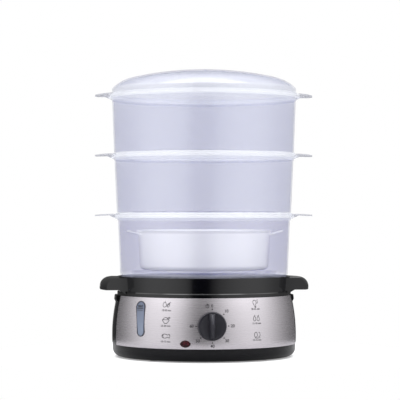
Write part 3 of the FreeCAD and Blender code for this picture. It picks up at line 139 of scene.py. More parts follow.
# How far up one looks, as a sine: where each light begins and where it is in full.
PLAIN_RISE = (-0.2, 0.9)
BOX_TOP_RISE = (0.22, 0.4)
OVERHEAD_RISE = (0.45, 0.8)
LAMP_START, LAMP_END = (0.86, 0.92), (0.975, 0.99)
LOW_RISE = (-0.1, 0.35)
BACKDROP_FOOT, BACKDROP_TOP = (-0.05, -0.03), (-0.04, 0.03)
# Radians round from the front, to either side.
SIDES_START = (1.4, 2.2)
BACKDROP_START = (2.9, 3.0)
# Degrees round from the front, to the right, and the share of the boxes' light from there.
ROUND_LIGHT = ((-180, 0.08), (-160, 0.09), (-140, 0.12), (-124, 0.25), (-108, 0.46), (-92, 0.76),
               (-76, 0.93), (-58, 0.96), (-42, 0.84), (-30, 0.66), (-22.5, 0.35), (-19, 0.0),
               (1, 0.0), (8, 0.25), (17, 0.52), (30, 0.74), (44, 0.9), (60, 0.95), (76, 0.84),
               (90, 0.6), (104, 0.42), (122, 0.24), (145, 0.1), (180, 0.08))

studio = bpy.data.worlds.new("studio")
studio.use_nodes = True
studio_tree = studio.node_tree
direction = Shade.node(studio_tree, "ShaderNodeTexCoord", {}, {}, "Generated")
sideways = Shade.node(studio_tree, "ShaderNodeSeparateXYZ", {}, {0: direction}, "X")
height = sideways.out("Z")
azimuth = sideways.math("ARCTAN2", sideways, 0 - sideways.out("Y"))
round_about = BOX_LIGHT * Shade.node(studio_tree, "ShaderNodeValToRGB", {
    "stops": [(0.5 + degrees / 360, share) for degrees, share in ROUND_LIGHT]},
    {"Fac": azimuth * (0.5 / math.pi) + 0.5})
round_about = round_about * (1 + BOX_TOP_GAIN * height.between(*BOX_TOP_RISE))
overhead = height.between(*OVERHEAD_RISE)
lamp_above = height.between(*LAMP_START) * (1 - height.between(*LAMP_END))
sides = abs(azimuth).between(*SIDES_START)
low_loss = LOW_LOSS + LOW_SIDE_LOSS * sides
round_about = round_about * (1 - (1 - height.between(*LOW_RISE)) * low_loss)
glossy_light = (round_about + overhead * (SHINE_ABOVE - round_about)
                + lamp_above * LAMP_ABOVE_LIGHT)
looked_at = Shade.node(studio_tree, "ShaderNodeLightPath", {}, {}, "Is Camera Ray")
mirrored = looked_at.out("Is Glossy Ray") + looked_at.out("Is Transmission Ray")
plain_light = PLAIN_LIGHT + (OVERHEAD_LIGHT - PLAIN_LIGHT) * height.between(*PLAIN_RISE)
backdrop = (abs(azimuth).between(*BACKDROP_START) * (1 - height.between(*BACKDROP_TOP))
            * height.between(*BACKDROP_FOOT))
seen = looked_at + mirrored * backdrop
light = glossy_light + looked_at.out("Is Diffuse Ray") * (plain_light - glossy_light)
strength = light + seen * (1 - light)
studio_tree.links.new(strength.socket, studio_tree.nodes["Background"].inputs["Strength"])
studio_tree.nodes["Background"].inputs["Color"].default_value = (1, 1, 1, 1)
bpy.context.scene.world = studio
bpy.context.scene.view_settings.view_transform = "Standard"
bpy.context.scene.cycles.transparent_max_bounces = WALL_PASSES


# ---------------------------------------------------------------- table top
# The plain white round top that it stands on. It keeps the object's shadow, and is a shade
# brighter to the eye than to the light that falls on it, less so close round the foot, where this
# leaves a painted shadow.

TOP_RADIUS = 0.30
TOP_CORNERS = 96
TOP_GLOW = 0.62
FOOT_SHADOW_GLOW = 0.30
PAINTED_SHADOW_REACH = (0.117, 0.126)
SCREEN_KNEE = 0.04


def tone(red, green, blue):
    """A colour as it looks on a screen, 0 to 255 a channel, in a shader's linear values."""
    screen = np.array([red, green, blue]) / 255
    linear = np.where(screen < SCREEN_KNEE, screen / 12.92, ((screen + 0.055) / 1.055) ** 2.4)
    return (*linear, 1.0)


def finish(name, constants):
    """A new material with a number or colour on each named socket; its tree and shader too."""
    material = bpy.data.materials.new(name)
    material.use_nodes = True
    shader = material.node_tree.nodes["Principled BSDF"]
    for socket, value in constants.items():
        shader.inputs[socket].default_value = value
    return material, material.node_tree, shader


def feed(shader, socket, shade):
    """What changes over the surface: a link into one of the shader's sockets."""
    shader.id_data.links.new(shade.socket, shader.inputs[socket])


def grains(tree, place, scale, detail=2.0):
    """Soft irregular spots, 0 to 1, about one over the scale across, in metres."""
    return Shade.node(tree, "ShaderNodeTexNoise", {}, {"Vector": place, "Scale": scale,
                                                       "Detail": detail}, "Fac")


def add_piece(name, points, faces, material, smooth=True):
    """A new object at the origin with these points, in metres, and these faces."""
    mesh = bpy.data.meshes.new(name)
    mesh.from_pydata(np.asarray(points, float).tolist(), [], [list(face) for face in faces])
    mesh.validate()
    mesh.polygons.foreach_set("use_smooth", np.full(len(mesh.polygons), smooth))
    mesh.materials.append(material)
    piece = bpy.data.objects.new(name, mesh)
    bpy.context.scene.collection.objects.link(piece)
    return piece


white_sheet, sheet_tree, sheet_shader = finish("white_sheet", {
    "Base Color": tone(228, 228, 230), "Roughness": 0.8, "Emission Strength": 1.0})
sheet_spot = Shade.node(sheet_tree, "ShaderNodeTexCoord", {}, {}, "Object")
sheet_x = Shade.node(sheet_tree, "ShaderNodeSeparateXYZ", {}, {0: sheet_spot}, "X")
sheet_reach = sheet_x * sheet_x + sheet_x.out("Y") * sheet_x.out("Y")
sheet_reach = sheet_reach.math("SQRT", sheet_reach)
sheet_seen = Shade.node(sheet_tree, "ShaderNodeLightPath", {}, {}, "Is Camera Ray")
# Less glow close round the foot paints a shadow there.
glow = sheet_seen * (FOOT_SHADOW_GLOW + (TOP_GLOW - FOOT_SHADOW_GLOW) * sheet_reach.between(*PAINTED_SHADOW_REACH))
feed(sheet_shader, "Emission Color", Shade.node(
    sheet_tree, "ShaderNodeCombineColor", {}, {"Red": glow, "Green": glow, "Blue": glow}))
feed(sheet_shader, "Roughness", 0.75 + 0.1 * grains(sheet_tree, sheet_spot, 300.0))
round_edge = np.linspace(0, 2 * math.pi, TOP_CORNERS, endpoint=False)
table_top = add_piece("table_top", TOP_RADIUS * np.stack(
    [np.cos(round_edge), np.sin(round_edge), 0 * round_edge], axis=1), [range(TOP_CORNERS)],
    white_sheet)


# ---------------------------------------------------------------- bottom cover, feet and screws
# The cover is moulded in satin black with slots for air, and stands on five soft rubber feet
# that sit in shallow sockets. Four zinc-plated screws hold it up against the tank's posts.

DULLER = 0.72


def spot_of(tree):
    """Where on the object, in metres."""
    return Shade.node(tree, "ShaderNodeTexCoord", {}, {}, "Object")


def rough_bump(tree, height, depth, strength=1.0):
    """A normal for a surface with this relief, whose ups and downs are about the depth high."""
    return Shade.node(tree, "ShaderNodeBump", {}, {
        "Height": height, "Distance": depth, "Strength": strength}, "Normal")


def blended(tree, amount, first, second):
    """The one colour turning into the other as the amount goes from 0 to 1."""
    return Shade.node(tree, "ShaderNodeMix", {"data_type": "RGBA"},
                      {0: amount, 6: first, 7: second}, 2)


def dress(material, *nodes):
    """Gives finished parts of the object their material."""
    for node in nodes:
        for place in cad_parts[node].material_slots:
            place.material = material


def moulded(name, dark, pale, roughness, spread, grain, depth):
    """A moulded plastic: a fine spark-worn grain, and tone and gloss that drift a little."""
    material, tree, shader = finish(name, {"IOR": 1.49})
    spot = spot_of(tree)
    drift = grains(tree, spot, 24.0, 3.0)
    feed(shader, "Base Color", blended(tree, drift, dark, pale))
    feed(shader, "Roughness", roughness + (grains(tree, spot, 180.0) - 0.5) * spread)
    feed(shader, "Normal", rough_bump(tree, grains(tree, spot, grain, 1.0), depth))
    return material, tree, shader


satin_black, _, _ = moulded("satin_black", tone(15, 14, 18), tone(24, 23, 28),
                            0.36, 0.12, 2600.0, 0.00003)
dress(satin_black, "bottom_cover")

foot_rubber, _, _ = moulded("foot_rubber", tone(28, 28, 29), tone(44, 43, 43),
                            0.8, 0.2, 1500.0, 0.0001)
dress(foot_rubber, "feet")


def plated(name, colour, roughness, grain):
    """Plated or rolled metal: fine pits, and patches where the plating is duller."""
    material, tree, shader = finish(name, {"Metallic": 1.0})
    spot = spot_of(tree)
    dull = grains(tree, spot, 90.0, 4.0)
    feed(shader, "Base Color", blended(tree, dull, colour, (*np.array(colour[:3]) * DULLER, 1.0)))
    feed(shader, "Roughness", roughness + (dull - 0.5) * 0.3)
    feed(shader, "Normal", rough_bump(tree, grains(tree, spot, grain, 2.0), 0.00002))
    return material


zinc = plated("zinc", tone(196, 198, 201), 0.34, 1800.0)
dress(zinc, "cover_screws", "timer_screws", "timer_plate", "timer_case", "timer_shaft",
      "heater_clamp", "heater_screws")


# ---------------------------------------------------------------- heater, thermostat and seal
# A cast plate in the tank's floor heats the water. Its sheathed element and its thermostat are
# pressed against it from below, and a moulded ring of silicone keeps it tight.

dress(plated("cast_plate", tone(176, 177, 180), 0.5, 700.0), "heater_plate")
dress(plated("element_sheath", tone(120, 117, 114), 0.46, 900.0), "heater_element")
dress(plated("pressed_can", tone(205, 203, 198), 0.28, 1200.0), "thermostat", "thermal_fuse")
silicone, _, _ = moulded("silicone", tone(196, 194, 188), tone(214, 212, 206),
                         0.5, 0.15, 900.0, 0.00005)
dress(silicone, "heater_seal", "gauge_seal")
natural_nylon, _, _ = moulded("natural_nylon", tone(214, 208, 190), tone(228, 223, 207),
                              0.45, 0.15, 1400.0, 0.00003)
dress(natural_nylon, "turbo_ring", "timer_cam", "timer_switch", "lamp_holder", "terminal_block")


# ---------------------------------------------------------------- housing and water tank
# The outer shell and the tub in it are moulded in glossy black. The shell's skirt is rounded
# under, and the tub's ring shows as a polished step between the steel and the drip tray.

GLOSS_IOR = 1.52
SKIRT_SHINE = 0.22

gloss_black, gloss_tree, gloss_shader = finish("gloss_black", {"IOR": GLOSS_IOR})
gloss_spot = spot_of(gloss_tree)
feed(gloss_shader, "Base Color", blended(gloss_tree, grains(gloss_tree, gloss_spot, 18.0, 3.0),
                                         tone(3, 3, 5), tone(7, 7, 10)))
feed(gloss_shader, "Roughness", 0.05 + 0.05 * grains(gloss_tree, gloss_spot, 60.0, 4.0))
feed(gloss_shader, "Normal", rough_bump(gloss_tree, grains(gloss_tree, gloss_spot, 45.0, 1.0),
                                        0.0002, 0.25))
dress(gloss_black, "water_tank")

skirt_black, _, skirt_shader = moulded("skirt_black", tone(7, 7, 10), tone(13, 13, 17),
                                       0.24, 0.08, 1100.0, 0.00002)
skirt_shader.inputs["Specular IOR Level"].default_value = SKIRT_SHINE
dress(skirt_black, "housing")


# ---------------------------------------------------------------- steel wrap
# Stainless sheet bent round the front between two black bands, brushed along its length so that
# the reflections run up and down.

STEEL_DULL = (0.57, 0.54, 0.575, 1.0)
STEEL_BRIGHT = (0.60, 0.57, 0.605, 1.0)
STEEL_RADIUS = 0.125
FINE_LENGTH, FINE_PITCH = 0.03, 0.00012
BROAD_LENGTH, BROAD_PITCH = 0.09, 0.0011
SCRATCH_DEPTH = 0.000002

brushed_steel, steel_tree, steel_shader = finish("brushed_steel", {
    "Metallic": 1.0, "Anisotropic": 0.8})
steel_spot = spot_of(steel_tree)
steel_x = Shade.node(steel_tree, "ShaderNodeSeparateXYZ", {}, {0: steel_spot}, "X")
steel_round = steel_x.math("ARCTAN2", steel_x, 0 - steel_x.out("Y"))
steel_z = steel_x.out("Z")


def brushing(length, pitch):
    """Streaks along the sheet: spots drawn out to a length round it, at a pitch up it."""
    along = Shade.node(steel_tree, "ShaderNodeCombineXYZ", {}, {
        "X": steel_round * (STEEL_RADIUS / length), "Y": steel_z * (1 / pitch), "Z": 0.0})
    return grains(steel_tree, along, 1.0, 3.0)


fine_streaks = brushing(FINE_LENGTH, FINE_PITCH)
broad_streaks = brushing(BROAD_LENGTH, BROAD_PITCH)
feed(steel_shader, "Base Color", blended(
    steel_tree, fine_streaks * 0.6 + broad_streaks * 0.4, STEEL_DULL, STEEL_BRIGHT))
feed(steel_shader, "Roughness", 0.22 + 0.07 * fine_streaks + 0.04 * broad_streaks)
feed(steel_shader, "Normal", rough_bump(steel_tree, fine_streaks + broad_streaks,
                                          SCRATCH_DEPTH))
dress(brushed_steel, "steel_wrap")


# ---------------------------------------------------------------- printing on the steel
# Small dark grey pad print, baked on: the timer's dots and minutes round the knob, a clock, and
# two columns of food pictures, each over the minutes that the food takes.

PANEL_BELLY = 0.1254
PANEL_BELLY_LEVEL = 0.030
PANEL_CURVE = 0.226
KNOB_LEVEL = 0.0482
INK_HEIGHT = 0.00005
ICON_LINE = 0.00072
BOLDER = 0.022
DOT_CORNERS = 20


def panel_radius(level):
    """Radius of the base at a level: a circle of the panel's curve that bulges at the belly."""
    return PANEL_BELLY - PANEL_CURVE + np.sqrt(PANEL_CURVE**2 - (level - PANEL_BELLY_LEVEL)**2)


def onto_panel(flat, azimuth, level, proud=INK_HEIGHT):
    """Flat points wrapped on the base: across becomes an arc round it, up becomes the level."""
    up = level + flat[:, 1]
    turn = azimuth + flat[:, 0] / PANEL_BELLY
    reach = panel_radius(up) + proud
    return np.stack([reach * np.sin(turn), -reach * np.cos(turn), up], axis=1)


def lettering(words, size):
    """The built-in type's outline of some words, as flat points round their middle and faces."""
    curve = bpy.data.curves.new("lettering", "FONT")
    curve.body = words
    curve.size = size
    curve.align_x = "CENTER"
    curve.align_y = "CENTER"
    curve.offset = BOLDER * size
    shape = bpy.data.objects.new("lettering", curve)
    mesh = bpy.data.meshes.new_from_object(shape)
    points = np.empty(3 * len(mesh.vertices))
    mesh.vertices.foreach_get("co", points)
    faces = [tuple(face.vertices) for face in mesh.polygons]
    bpy.data.objects.remove(shape)
    bpy.data.meshes.remove(mesh)
    return points.reshape(-1, 3)[:, :2], faces


def ribbon(path, width, closed=False):
    """A flat line along a path: each point moved half the width to both sides, square to it."""
    path = np.asarray(path, float)
    ahead = np.roll(path, -1, 0) if closed else np.vstack([path[1:], path[-1:]])
    before = np.roll(path, 1, 0) if closed else np.vstack([path[:1], path[:-1]])
    along = ahead - before
    along /= np.linalg.norm(along, axis=1)[:, None]
    side = np.stack([-along[:, 1], along[:, 0]], axis=1) * (width / 2)
    count = len(path)
    here = np.arange(count if closed else count - 1)
    there = (here + 1) % count
    faces = np.stack([here, here + count, there + count, there], axis=1)
    return np.vstack([path + side, path - side]), faces.tolist()


def dot(x, y, radius):
    """A filled round dot."""
    turn = np.linspace(0, 2 * math.pi, DOT_CORNERS, endpoint=False)
    edge = np.stack([x + radius * np.cos(turn), y + radius * np.sin(turn)], axis=1)
    return edge, [list(range(DOT_CORNERS))]


def oval(x, y, wide, high, start=0.0, end=360.0, tilt=0.0, point=0.0):
    """A path round an oval from one angle to another, tilted, and drawn in to a point on top."""
    turn = np.radians(np.linspace(start, end, 40))
    up = np.sin(turn) * high / 2
    across = np.cos(turn) * wide / 2 * (1 - point * (np.sin(turn) + 1) / 2)
    lean = math.radians(tilt)
    return np.stack([x + across * math.cos(lean) - up * math.sin(lean),
                     y + across * math.sin(lean) + up * math.cos(lean)], axis=1)


def bow(x0, y0, x1, y1, bulge):
    """A path from one point to another, bent to its left by the bulge in the middle."""
    step = np.linspace(0, 1, 16)[:, None]
    start, end = np.array([x0, y0]), np.array([x1, y1])
    square = np.array([y0 - y1, x1 - x0]) / max(math.hypot(x1 - x0, y1 - y0), 1e-6)
    return start + (end - start) * step + square * (4 * bulge * step * (1 - step))


def printed(name, marks, azimuth, level, proud=INK_HEIGHT):
    """One print from several flat marks, wrapped on the panel at an azimuth and a level."""
    points, faces, count = [], [], 0
    for flat, sides in marks:
        points.append(onto_panel(flat, azimuth, level, proud))
        faces += [[corner + count for corner in side] for side in sides]
        count += len(flat)
    piece = add_piece(name, np.vstack(points), faces, ink, smooth=False)
    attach(piece, "base")


def moved(mark, x, y):
    """A flat mark shifted across and up."""
    flat, sides = mark
    return flat + np.array([x, y]), sides


ink, ink_tree, ink_shader = finish("panel_ink", {"Roughness": 0.45})
ink_spot = spot_of(ink_tree)
feed(ink_shader, "Base Color", blended(ink_tree, grains(ink_tree, ink_spot, 4000.0),
                                       tone(18, 17, 22), tone(38, 36, 42)))
feed(ink_shader, "Roughness", 0.4 + 0.2 * grains(ink_tree, ink_spot, 2500.0))

DIAL_TURN = math.radians(0.25)
DIAL_DOT_RADIUS = 0.0217
DIAL_NUMBER_RADIUS = 0.0272
DIAL_NUMBER_SIZE = 0.0055
DIAL_STEP = math.radians(45)
DOT_RADIUS = 0.0009
UPRIGHT_NUMBERS = (0, 4)
UPRIGHT_CLOSER = 0.0012
CLOCK_X, CLOCK_Y = -0.0064, 0.0258
CLOCK_WIDE = 0.0044
CLOCK_LINE = 0.0008
CLOCK_BUTTON_LINE = 0.0009
dial_marks = []
for step in range(7):
    dial_x, dial_y = math.sin(DIAL_STEP * step), math.cos(DIAL_STEP * step)
    dial_marks.append(dot(DIAL_DOT_RADIUS * dial_x, DIAL_DOT_RADIUS * dial_y, DOT_RADIUS))
    number_reach = DIAL_NUMBER_RADIUS - (UPRIGHT_CLOSER if step in UPRIGHT_NUMBERS else 0)
    dial_marks.append(moved(lettering(str(10 * step), DIAL_NUMBER_SIZE),
                            number_reach * dial_x, number_reach * dial_y))
dial_marks += [
    ribbon(oval(CLOCK_X, CLOCK_Y, CLOCK_WIDE, CLOCK_WIDE)[:-1], CLOCK_LINE, closed=True),
    ribbon(bow(CLOCK_X, CLOCK_Y, CLOCK_X, 0.0273, 0), CLOCK_LINE),
    ribbon(bow(CLOCK_X, CLOCK_Y, -0.0053, 0.0252, 0), CLOCK_LINE),
    ribbon(bow(-0.0071, 0.0288, -0.0057, 0.0288, 0), CLOCK_BUTTON_LINE)]
printed("dial_print", dial_marks, DIAL_TURN, KNOB_LEVEL)

MM = 0.001
# The pictures' lines, drawn about their middles.
FISH = [oval(-0.8, 0, 7.0, 4.6, 35, 325), bow(2.1, 1.3, 4.6, 2.2, -0.3),
        bow(4.6, 2.2, 4.6, -2.2, 0.9), bow(4.6, -2.2, 2.1, -1.3, -0.3),
        bow(-2.3, 1.5, -2.3, -1.5, -0.8), oval(-3.1, 0.5, 0.5, 0.5)]
GREENS = [oval(-2.6, 0.3, 5.0, 5.4, point=0.35), bow(-2.6, 2.9, -2.0, 4.0, -0.2),
          oval(2.2, -0.2, 3.6, 4.6, tilt=-30, point=0.5), bow(3.4, 1.8, 4.8, 3.0, 0.3),
          bow(1.0, -1.6, 3.2, 1.2, 0.4)]
RICE = [bow(-4.4, 0.8, 4.4, 0.8, -4.0), bow(-4.4, 0.8, 4.4, 0.8, 0.0),
        bow(-3.6, 0.9, 3.2, 0.9, 2.4), bow(-1.6, -3.2, 1.6, -3.2, 0.0),
        bow(1.2, 2.2, 5.0, 3.8, 0.1), bow(2.4, 1.8, 5.4, 2.9, 0.1)]
LEG = [oval(-0.6, 1.2, 4.6, 5.0, -60, 240), bow(-1.8, -0.9, -0.4, -3.4, -0.3),
       bow(0.5, -1.2, 0.4, -3.4, 0.3), oval(0.0, -3.8, 1.4, 1.0),
       bow(2.6, 0.0, 3.0, 3.4, -0.9), bow(3.0, 3.4, 4.2, 4.2, 0.2)]
PEARS = [oval(-2.5, -0.6, 4.0, 5.4, point=0.5), bow(-2.5, 2.1, -1.8, 3.4, -0.2),
         oval(2.4, -0.6, 4.0, 5.4, point=0.5), bow(2.4, 2.1, 3.1, 3.4, -0.2)]
EGGS = [oval(-1.6, -0.1, 4.4, 5.6, point=0.25), oval(2.6, -0.1, 3.4, 5.0, -115, 115, point=0.25),
        bow(-3.0, -3.6, 4.2, -3.6, -0.3)]
PICTURE_SIZE = 0.00118
MINUTES_SIZE = 0.0034
# Each picture's name and lines, its minutes, its degrees round from the front, its level in m and
# how far under it the minutes stand, in mm.
for print_name, picture, minutes, degrees_round, level, words_drop in (
        ("print_greens", GREENS, "15-20 min", -28.5, 0.0752, 7.1),
        ("print_rice", RICE, "25-30 min", -28.5, 0.0550, 7.0),
        ("print_fish", FISH, "10-15 min", -28.5, 0.0348, 7.2),
        ("print_poultry", LEG, "20-25 min", 28.9, 0.0765, 7.1),
        ("print_fruit", PEARS, "15-18 min", 28.9, 0.0578, 7.1),
        ("print_eggs", EGGS, "12-15 min", 28.9, 0.0362, 7.1)):
    lines = [ribbon(PICTURE_SIZE * path, ICON_LINE) for path in picture]
    words = moved(lettering(minutes, MINUTES_SIZE), 0, -MM * words_drop)
    printed(print_name, lines + [words], math.radians(degrees_round), level)


# ---------------------------------------------------------------- gauge window
# A smoky clear window clipped in from behind, with two fill lines and MAX moulded in near its
# top. A dark soft bead runs round its edge where it meets the steel.

gauge_clear, gauge_tree, gauge_shader = finish("gauge_clear", {"IOR": 1.5})
gauge_spot = spot_of(gauge_tree)
gauge_z = Shade.node(gauge_tree, "ShaderNodeSeparateXYZ", {}, {0: gauge_spot}, "Z")
feed(gauge_shader, "Base Color", blended(
    gauge_tree, gauge_z.between(0.032, 0.080), tone(134, 145, 166), tone(112, 121, 143)))
feed(gauge_shader, "Alpha", 0.9 + 0.06 * grains(gauge_tree, gauge_spot, 150.0))
feed(gauge_shader, "Roughness", 0.08 + 0.1 * grains(gauge_tree, gauge_spot, 80.0))
dress(gauge_clear, "gauge_window")

GAUGE_TURN = math.radians(-48.0)
GAUGE_PROUD = 0.00105
# The window's outline in mm: a half circle over a smaller one, which stands a little aside.
GAUGE_TOP_ROUND, GAUGE_TOP_MIDDLE = 7.8, 71.1
GAUGE_FOOT_ROUND, GAUGE_FOOT_MIDDLE, GAUGE_FOOT_ASIDE = 5.8, 39.1, 3.5
BEAD_RADIUS = 0.0006
BEAD_CORNERS = 10
BEAD_SUNK = 0.6
MAX_SIZE, MAX_LEVEL = 0.0040, 0.0725


def beaded(name, path, turn, lift, radius, material):
    """A round bead along a closed flat path, lifted off the base: each point of the path is moved
    by the radius times the cosine of an angle across it, and times its sine outwards."""
    along = np.roll(path, -1, 0) - np.roll(path, 1, 0)
    along /= np.linalg.norm(along, axis=1)[:, None]
    side = np.stack([along[:, 1], -along[:, 0]], axis=1)
    rings = [onto_panel(path + side * (radius * math.cos(angle)), turn, 0.0,
                        lift + radius * math.sin(angle))
             for angle in np.linspace(0, 2 * math.pi, BEAD_CORNERS, endpoint=False)]
    count = len(path)
    here, ring = np.meshgrid(np.arange(count), np.arange(len(rings)))
    there, next_ring = (here + 1) % count, (ring + 1) % len(rings)
    faces = np.stack([ring * count + here, ring * count + there,
                      next_ring * count + there, next_ring * count + here], axis=2)
    piece = add_piece(name, np.vstack(rings), faces.reshape(-1, 4), material)
    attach(piece, "base")


half_turn = np.linspace(0, math.pi, 24)
gauge_path = MM * np.vstack([
    np.stack([GAUGE_TOP_ROUND * np.cos(half_turn),
              GAUGE_TOP_MIDDLE + GAUGE_TOP_ROUND * np.sin(half_turn)], axis=1),
    np.stack([GAUGE_FOOT_ASIDE - GAUGE_FOOT_ROUND * np.cos(half_turn),
              GAUGE_FOOT_MIDDLE - GAUGE_FOOT_ROUND * np.sin(half_turn)], axis=1)])
bead_dark, _, _ = moulded("bead_dark", tone(40, 42, 54), tone(62, 64, 78),
                          0.4, 0.1, 1500.0, 0.00003)
beaded("gauge_bead", gauge_path, GAUGE_TURN, BEAD_SUNK * GAUGE_PROUD, BEAD_RADIUS, bead_dark)
printed("gauge_marks", [moved(lettering("MAX", MAX_SIZE), 0.0, MAX_LEVEL),
                        ribbon(bow(-0.0056, 0.0697, 0.0056, 0.0697, 0), 0.0008),
                        ribbon(bow(-0.0050, 0.0672, 0.0050, 0.0672, 0), 0.0005)],
        GAUGE_TURN, 0.0, GAUGE_PROUD)


# ---------------------------------------------------------------- lamp
# A pointed oval lens in deep red, faceted on its back, snapped into the front from behind. A
# small neon lamp stands over it in a clip and glows through it.

lens_red, lens_tree, lens_shader = finish("lens_red", {
    "IOR": 1.45, "Roughness": 0.2, "Specular IOR Level": 0.35})
lens_spot = spot_of(lens_tree)
facets = Shade.node(lens_tree, "ShaderNodeTexVoronoi", {}, {"Vector": lens_spot,
                                                            "Scale": 420.0}, "Distance")
feed(lens_shader, "Base Color", blended(lens_tree, facets.between(0.1, 0.7),
                                        tone(96, 18, 34), tone(34, 6, 13)))
feed(lens_shader, "Alpha", 0.86 + 0.1 * facets)
feed(lens_shader, "Normal", rough_bump(lens_tree, facets, 0.0004, 0.6))
dress(lens_red, "indicator_lens")
lamp_glass, lamp_tree, lamp_shader = finish("lamp_glass", {"Base Color": tone(235, 190, 165)})
feed(lamp_shader, "Alpha", 0.45 + 0.2 * grains(lamp_tree, spot_of(lamp_tree), 300.0))
feed(lamp_shader, "Roughness", 0.05 + 0.1 * grains(lamp_tree, spot_of(lamp_tree), 500.0))
dress(lamp_glass, "neon_lamp")


# ---------------------------------------------------------------- timer and knob
# A wind-up timer behind the front turns one knob of black plastic: a dished disc with soft edges
# and an arched bar to grip across it, narrower at its foot, with a fine pointer line.

KNOB_SHINE = 0.36

dress(plated("spring_steel", tone(118, 122, 134), 0.3, 1400.0), "timer_mainspring", "timer_bell")
knob_black, knob_tree, knob_shader = finish("knob_black", {
    "IOR": 1.5, "Specular IOR Level": KNOB_SHINE})
knob_spot = spot_of(knob_tree)
feed(knob_shader, "Base Color", blended(knob_tree, grains(knob_tree, knob_spot, 120.0),
                                        tone(31, 31, 38), tone(42, 41, 49)))
feed(knob_shader, "Roughness", 0.36 + 0.12 * grains(knob_tree, knob_spot, 260.0))
feed(knob_shader, "Normal", rough_bump(knob_tree, grains(knob_tree, knob_spot, 2200.0), 0.00002))

KNOB_BACK = 0.12547
# The disc's section and the grip's sizes in mm, from the knob's axis and from its back.
DISC_OUTLINE = ((2.9, 2.8), (2.9, 0.9), (18.6, 0.9), (18.6, 0.0), (19.2, 0.05), (19.15, 1.0),
                (18.3, 4.2), (18.05, 4.75), (17.7, 5.0), (17.2, 5.0), (16.7, 4.8), (16.2, 4.35),
                (14.5, 3.75), (11.5, 3.25), (8.5, 2.95), (5.5, 2.8))
GRIP_REACH = 16.5
GRIP_HEIGHT = 16.1
GRIP_END_HEIGHT = 7.8
GRIP_FOOT = 2.0
GRIP_FOOT_HALF_WIDE, GRIP_TOP_HALF_WIDER = 3.4, 2.0
GRIP_END_ROUNDS_FROM, GRIP_END_ROUND = 0.95, 0.22
GRIP_NARROWED = 0.35
POINTER_FOOT, POINTER_TIP, POINTER_LINE, POINTER_HEIGHT = 3.0, 15.2, 0.7, 0.04


def turned_mesh(profile, steps):
    """Points and faces of a closed outline of (radius, level) points turned about the upright
    axis: each point goes round a circle of its radius at its level."""
    profile = np.asarray(profile, float)
    turn = np.linspace(0, 2 * math.pi, steps, endpoint=False)[:, None]
    points = np.stack([profile[:, 0] * np.cos(turn), profile[:, 0] * np.sin(turn),
                       profile[:, 1] + 0 * turn], axis=2).reshape(-1, 3)
    count = len(profile)
    along, round_it = np.meshgrid(np.arange(count), np.arange(steps))
    onward, further = (along + 1) % count, (round_it + 1) % steps
    faces = np.stack([round_it * count + along, further * count + along,
                      further * count + onward, round_it * count + onward], axis=2)
    return points, faces.reshape(-1, 4)


def rounded(corners, count):
    """A smooth closed outline: its corners are cut this many times, at a quarter and at three
    quarters of each side."""
    outline = np.asarray(corners, float)
    for _ in range(count):
        ahead = np.roll(outline, -1, 0)
        outline = np.stack([0.75 * outline + 0.25 * ahead, 0.25 * outline + 0.75 * ahead],
                           axis=1).reshape(-1, 2)
    return outline


def facing_front(points):
    """Points in mm about the knob's axis, their third number outwards, put on the base's front."""
    x, y, out = np.asarray(points).T * MM
    return np.stack([x, -KNOB_BACK - out, KNOB_LEVEL + y], axis=1)


def grip_top(up):
    """Height of the grip over its length: an arch through its two ends and its middle."""
    return GRIP_HEIGHT - (GRIP_HEIGHT - GRIP_END_HEIGHT) * (up / GRIP_REACH)**2


disc_points, disc_faces = turned_mesh(rounded(DISC_OUTLINE, 1), 72)
grip_up = GRIP_REACH * np.array([-1, -0.985, -0.95, -0.85, -0.7, -0.5, -0.25, 0, 0.25, 0.5, 0.7,
                                 0.85, 0.95, 0.985, 1])
past_start = (np.abs(grip_up) / GRIP_REACH - GRIP_END_ROUNDS_FROM) / (1 - GRIP_END_ROUNDS_FROM)
end_round = 1 - GRIP_END_ROUND * np.clip(past_start, 0, 1)**2
half_wide = (GRIP_FOOT_HALF_WIDE
             + GRIP_TOP_HALF_WIDER * (grip_up / GRIP_REACH + 1) / 2) * end_round
tall = (grip_top(grip_up) - GRIP_FOOT) * (0.5 + 0.5 * end_round)
# Each section is half a squared oval, drawn in towards its top. Across it is the half width times
# the cosine of an angle to the power 0.7, and outwards the height times the root of its sine.
arc = np.linspace(0, math.pi, 21)
bent = np.sign(np.cos(arc)) * np.abs(np.cos(arc))**0.7
risen = np.abs(np.sin(arc))**0.5
narrowed = 1 - GRIP_NARROWED * risen
grip_points = np.stack([half_wide[:, None] * bent * narrowed, grip_up[:, None] + 0 * arc,
                        GRIP_FOOT + tall[:, None] * risen], axis=2).reshape(-1, 3)
section, corner = np.meshgrid(np.arange(len(grip_up) - 1), np.arange(len(arc)), indexing="ij")
corner_on = (corner + 1) % len(arc)
grip_faces = np.stack([section * len(arc) + corner, (section + 1) * len(arc) + corner,
                       (section + 1) * len(arc) + corner_on, section * len(arc) + corner_on],
                      axis=2).reshape(-1, 4) + len(disc_points)
grip_ends = [(np.arange(len(arc)) + len(disc_points)).tolist(),
             (np.arange(len(arc))[::-1] + len(disc_points) + len(grip_points) - len(arc)).tolist()]
knob_piece = add_piece("knob_turned", facing_front(np.vstack([disc_points, grip_points])),
                       disc_faces.tolist() + grip_faces.tolist() + grip_ends, knob_black)
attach(knob_piece, "dial")
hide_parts("knob")

pointer_pale, _, _ = moulded("pointer_pale", tone(74, 74, 84), tone(92, 92, 102),
                             0.4, 0.1, 1500.0, 0.00002)
line_up = np.linspace(POINTER_FOOT, POINTER_TIP, 12)
line_flat, line_faces = ribbon(np.stack([0 * line_up, line_up], axis=1), POINTER_LINE)
pointer = add_piece("knob_pointer", facing_front(np.column_stack(
    [line_flat, grip_top(line_flat[:, 1]) + POINTER_HEIGHT])), line_faces, pointer_pale,
    smooth=False)
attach(pointer, "dial")


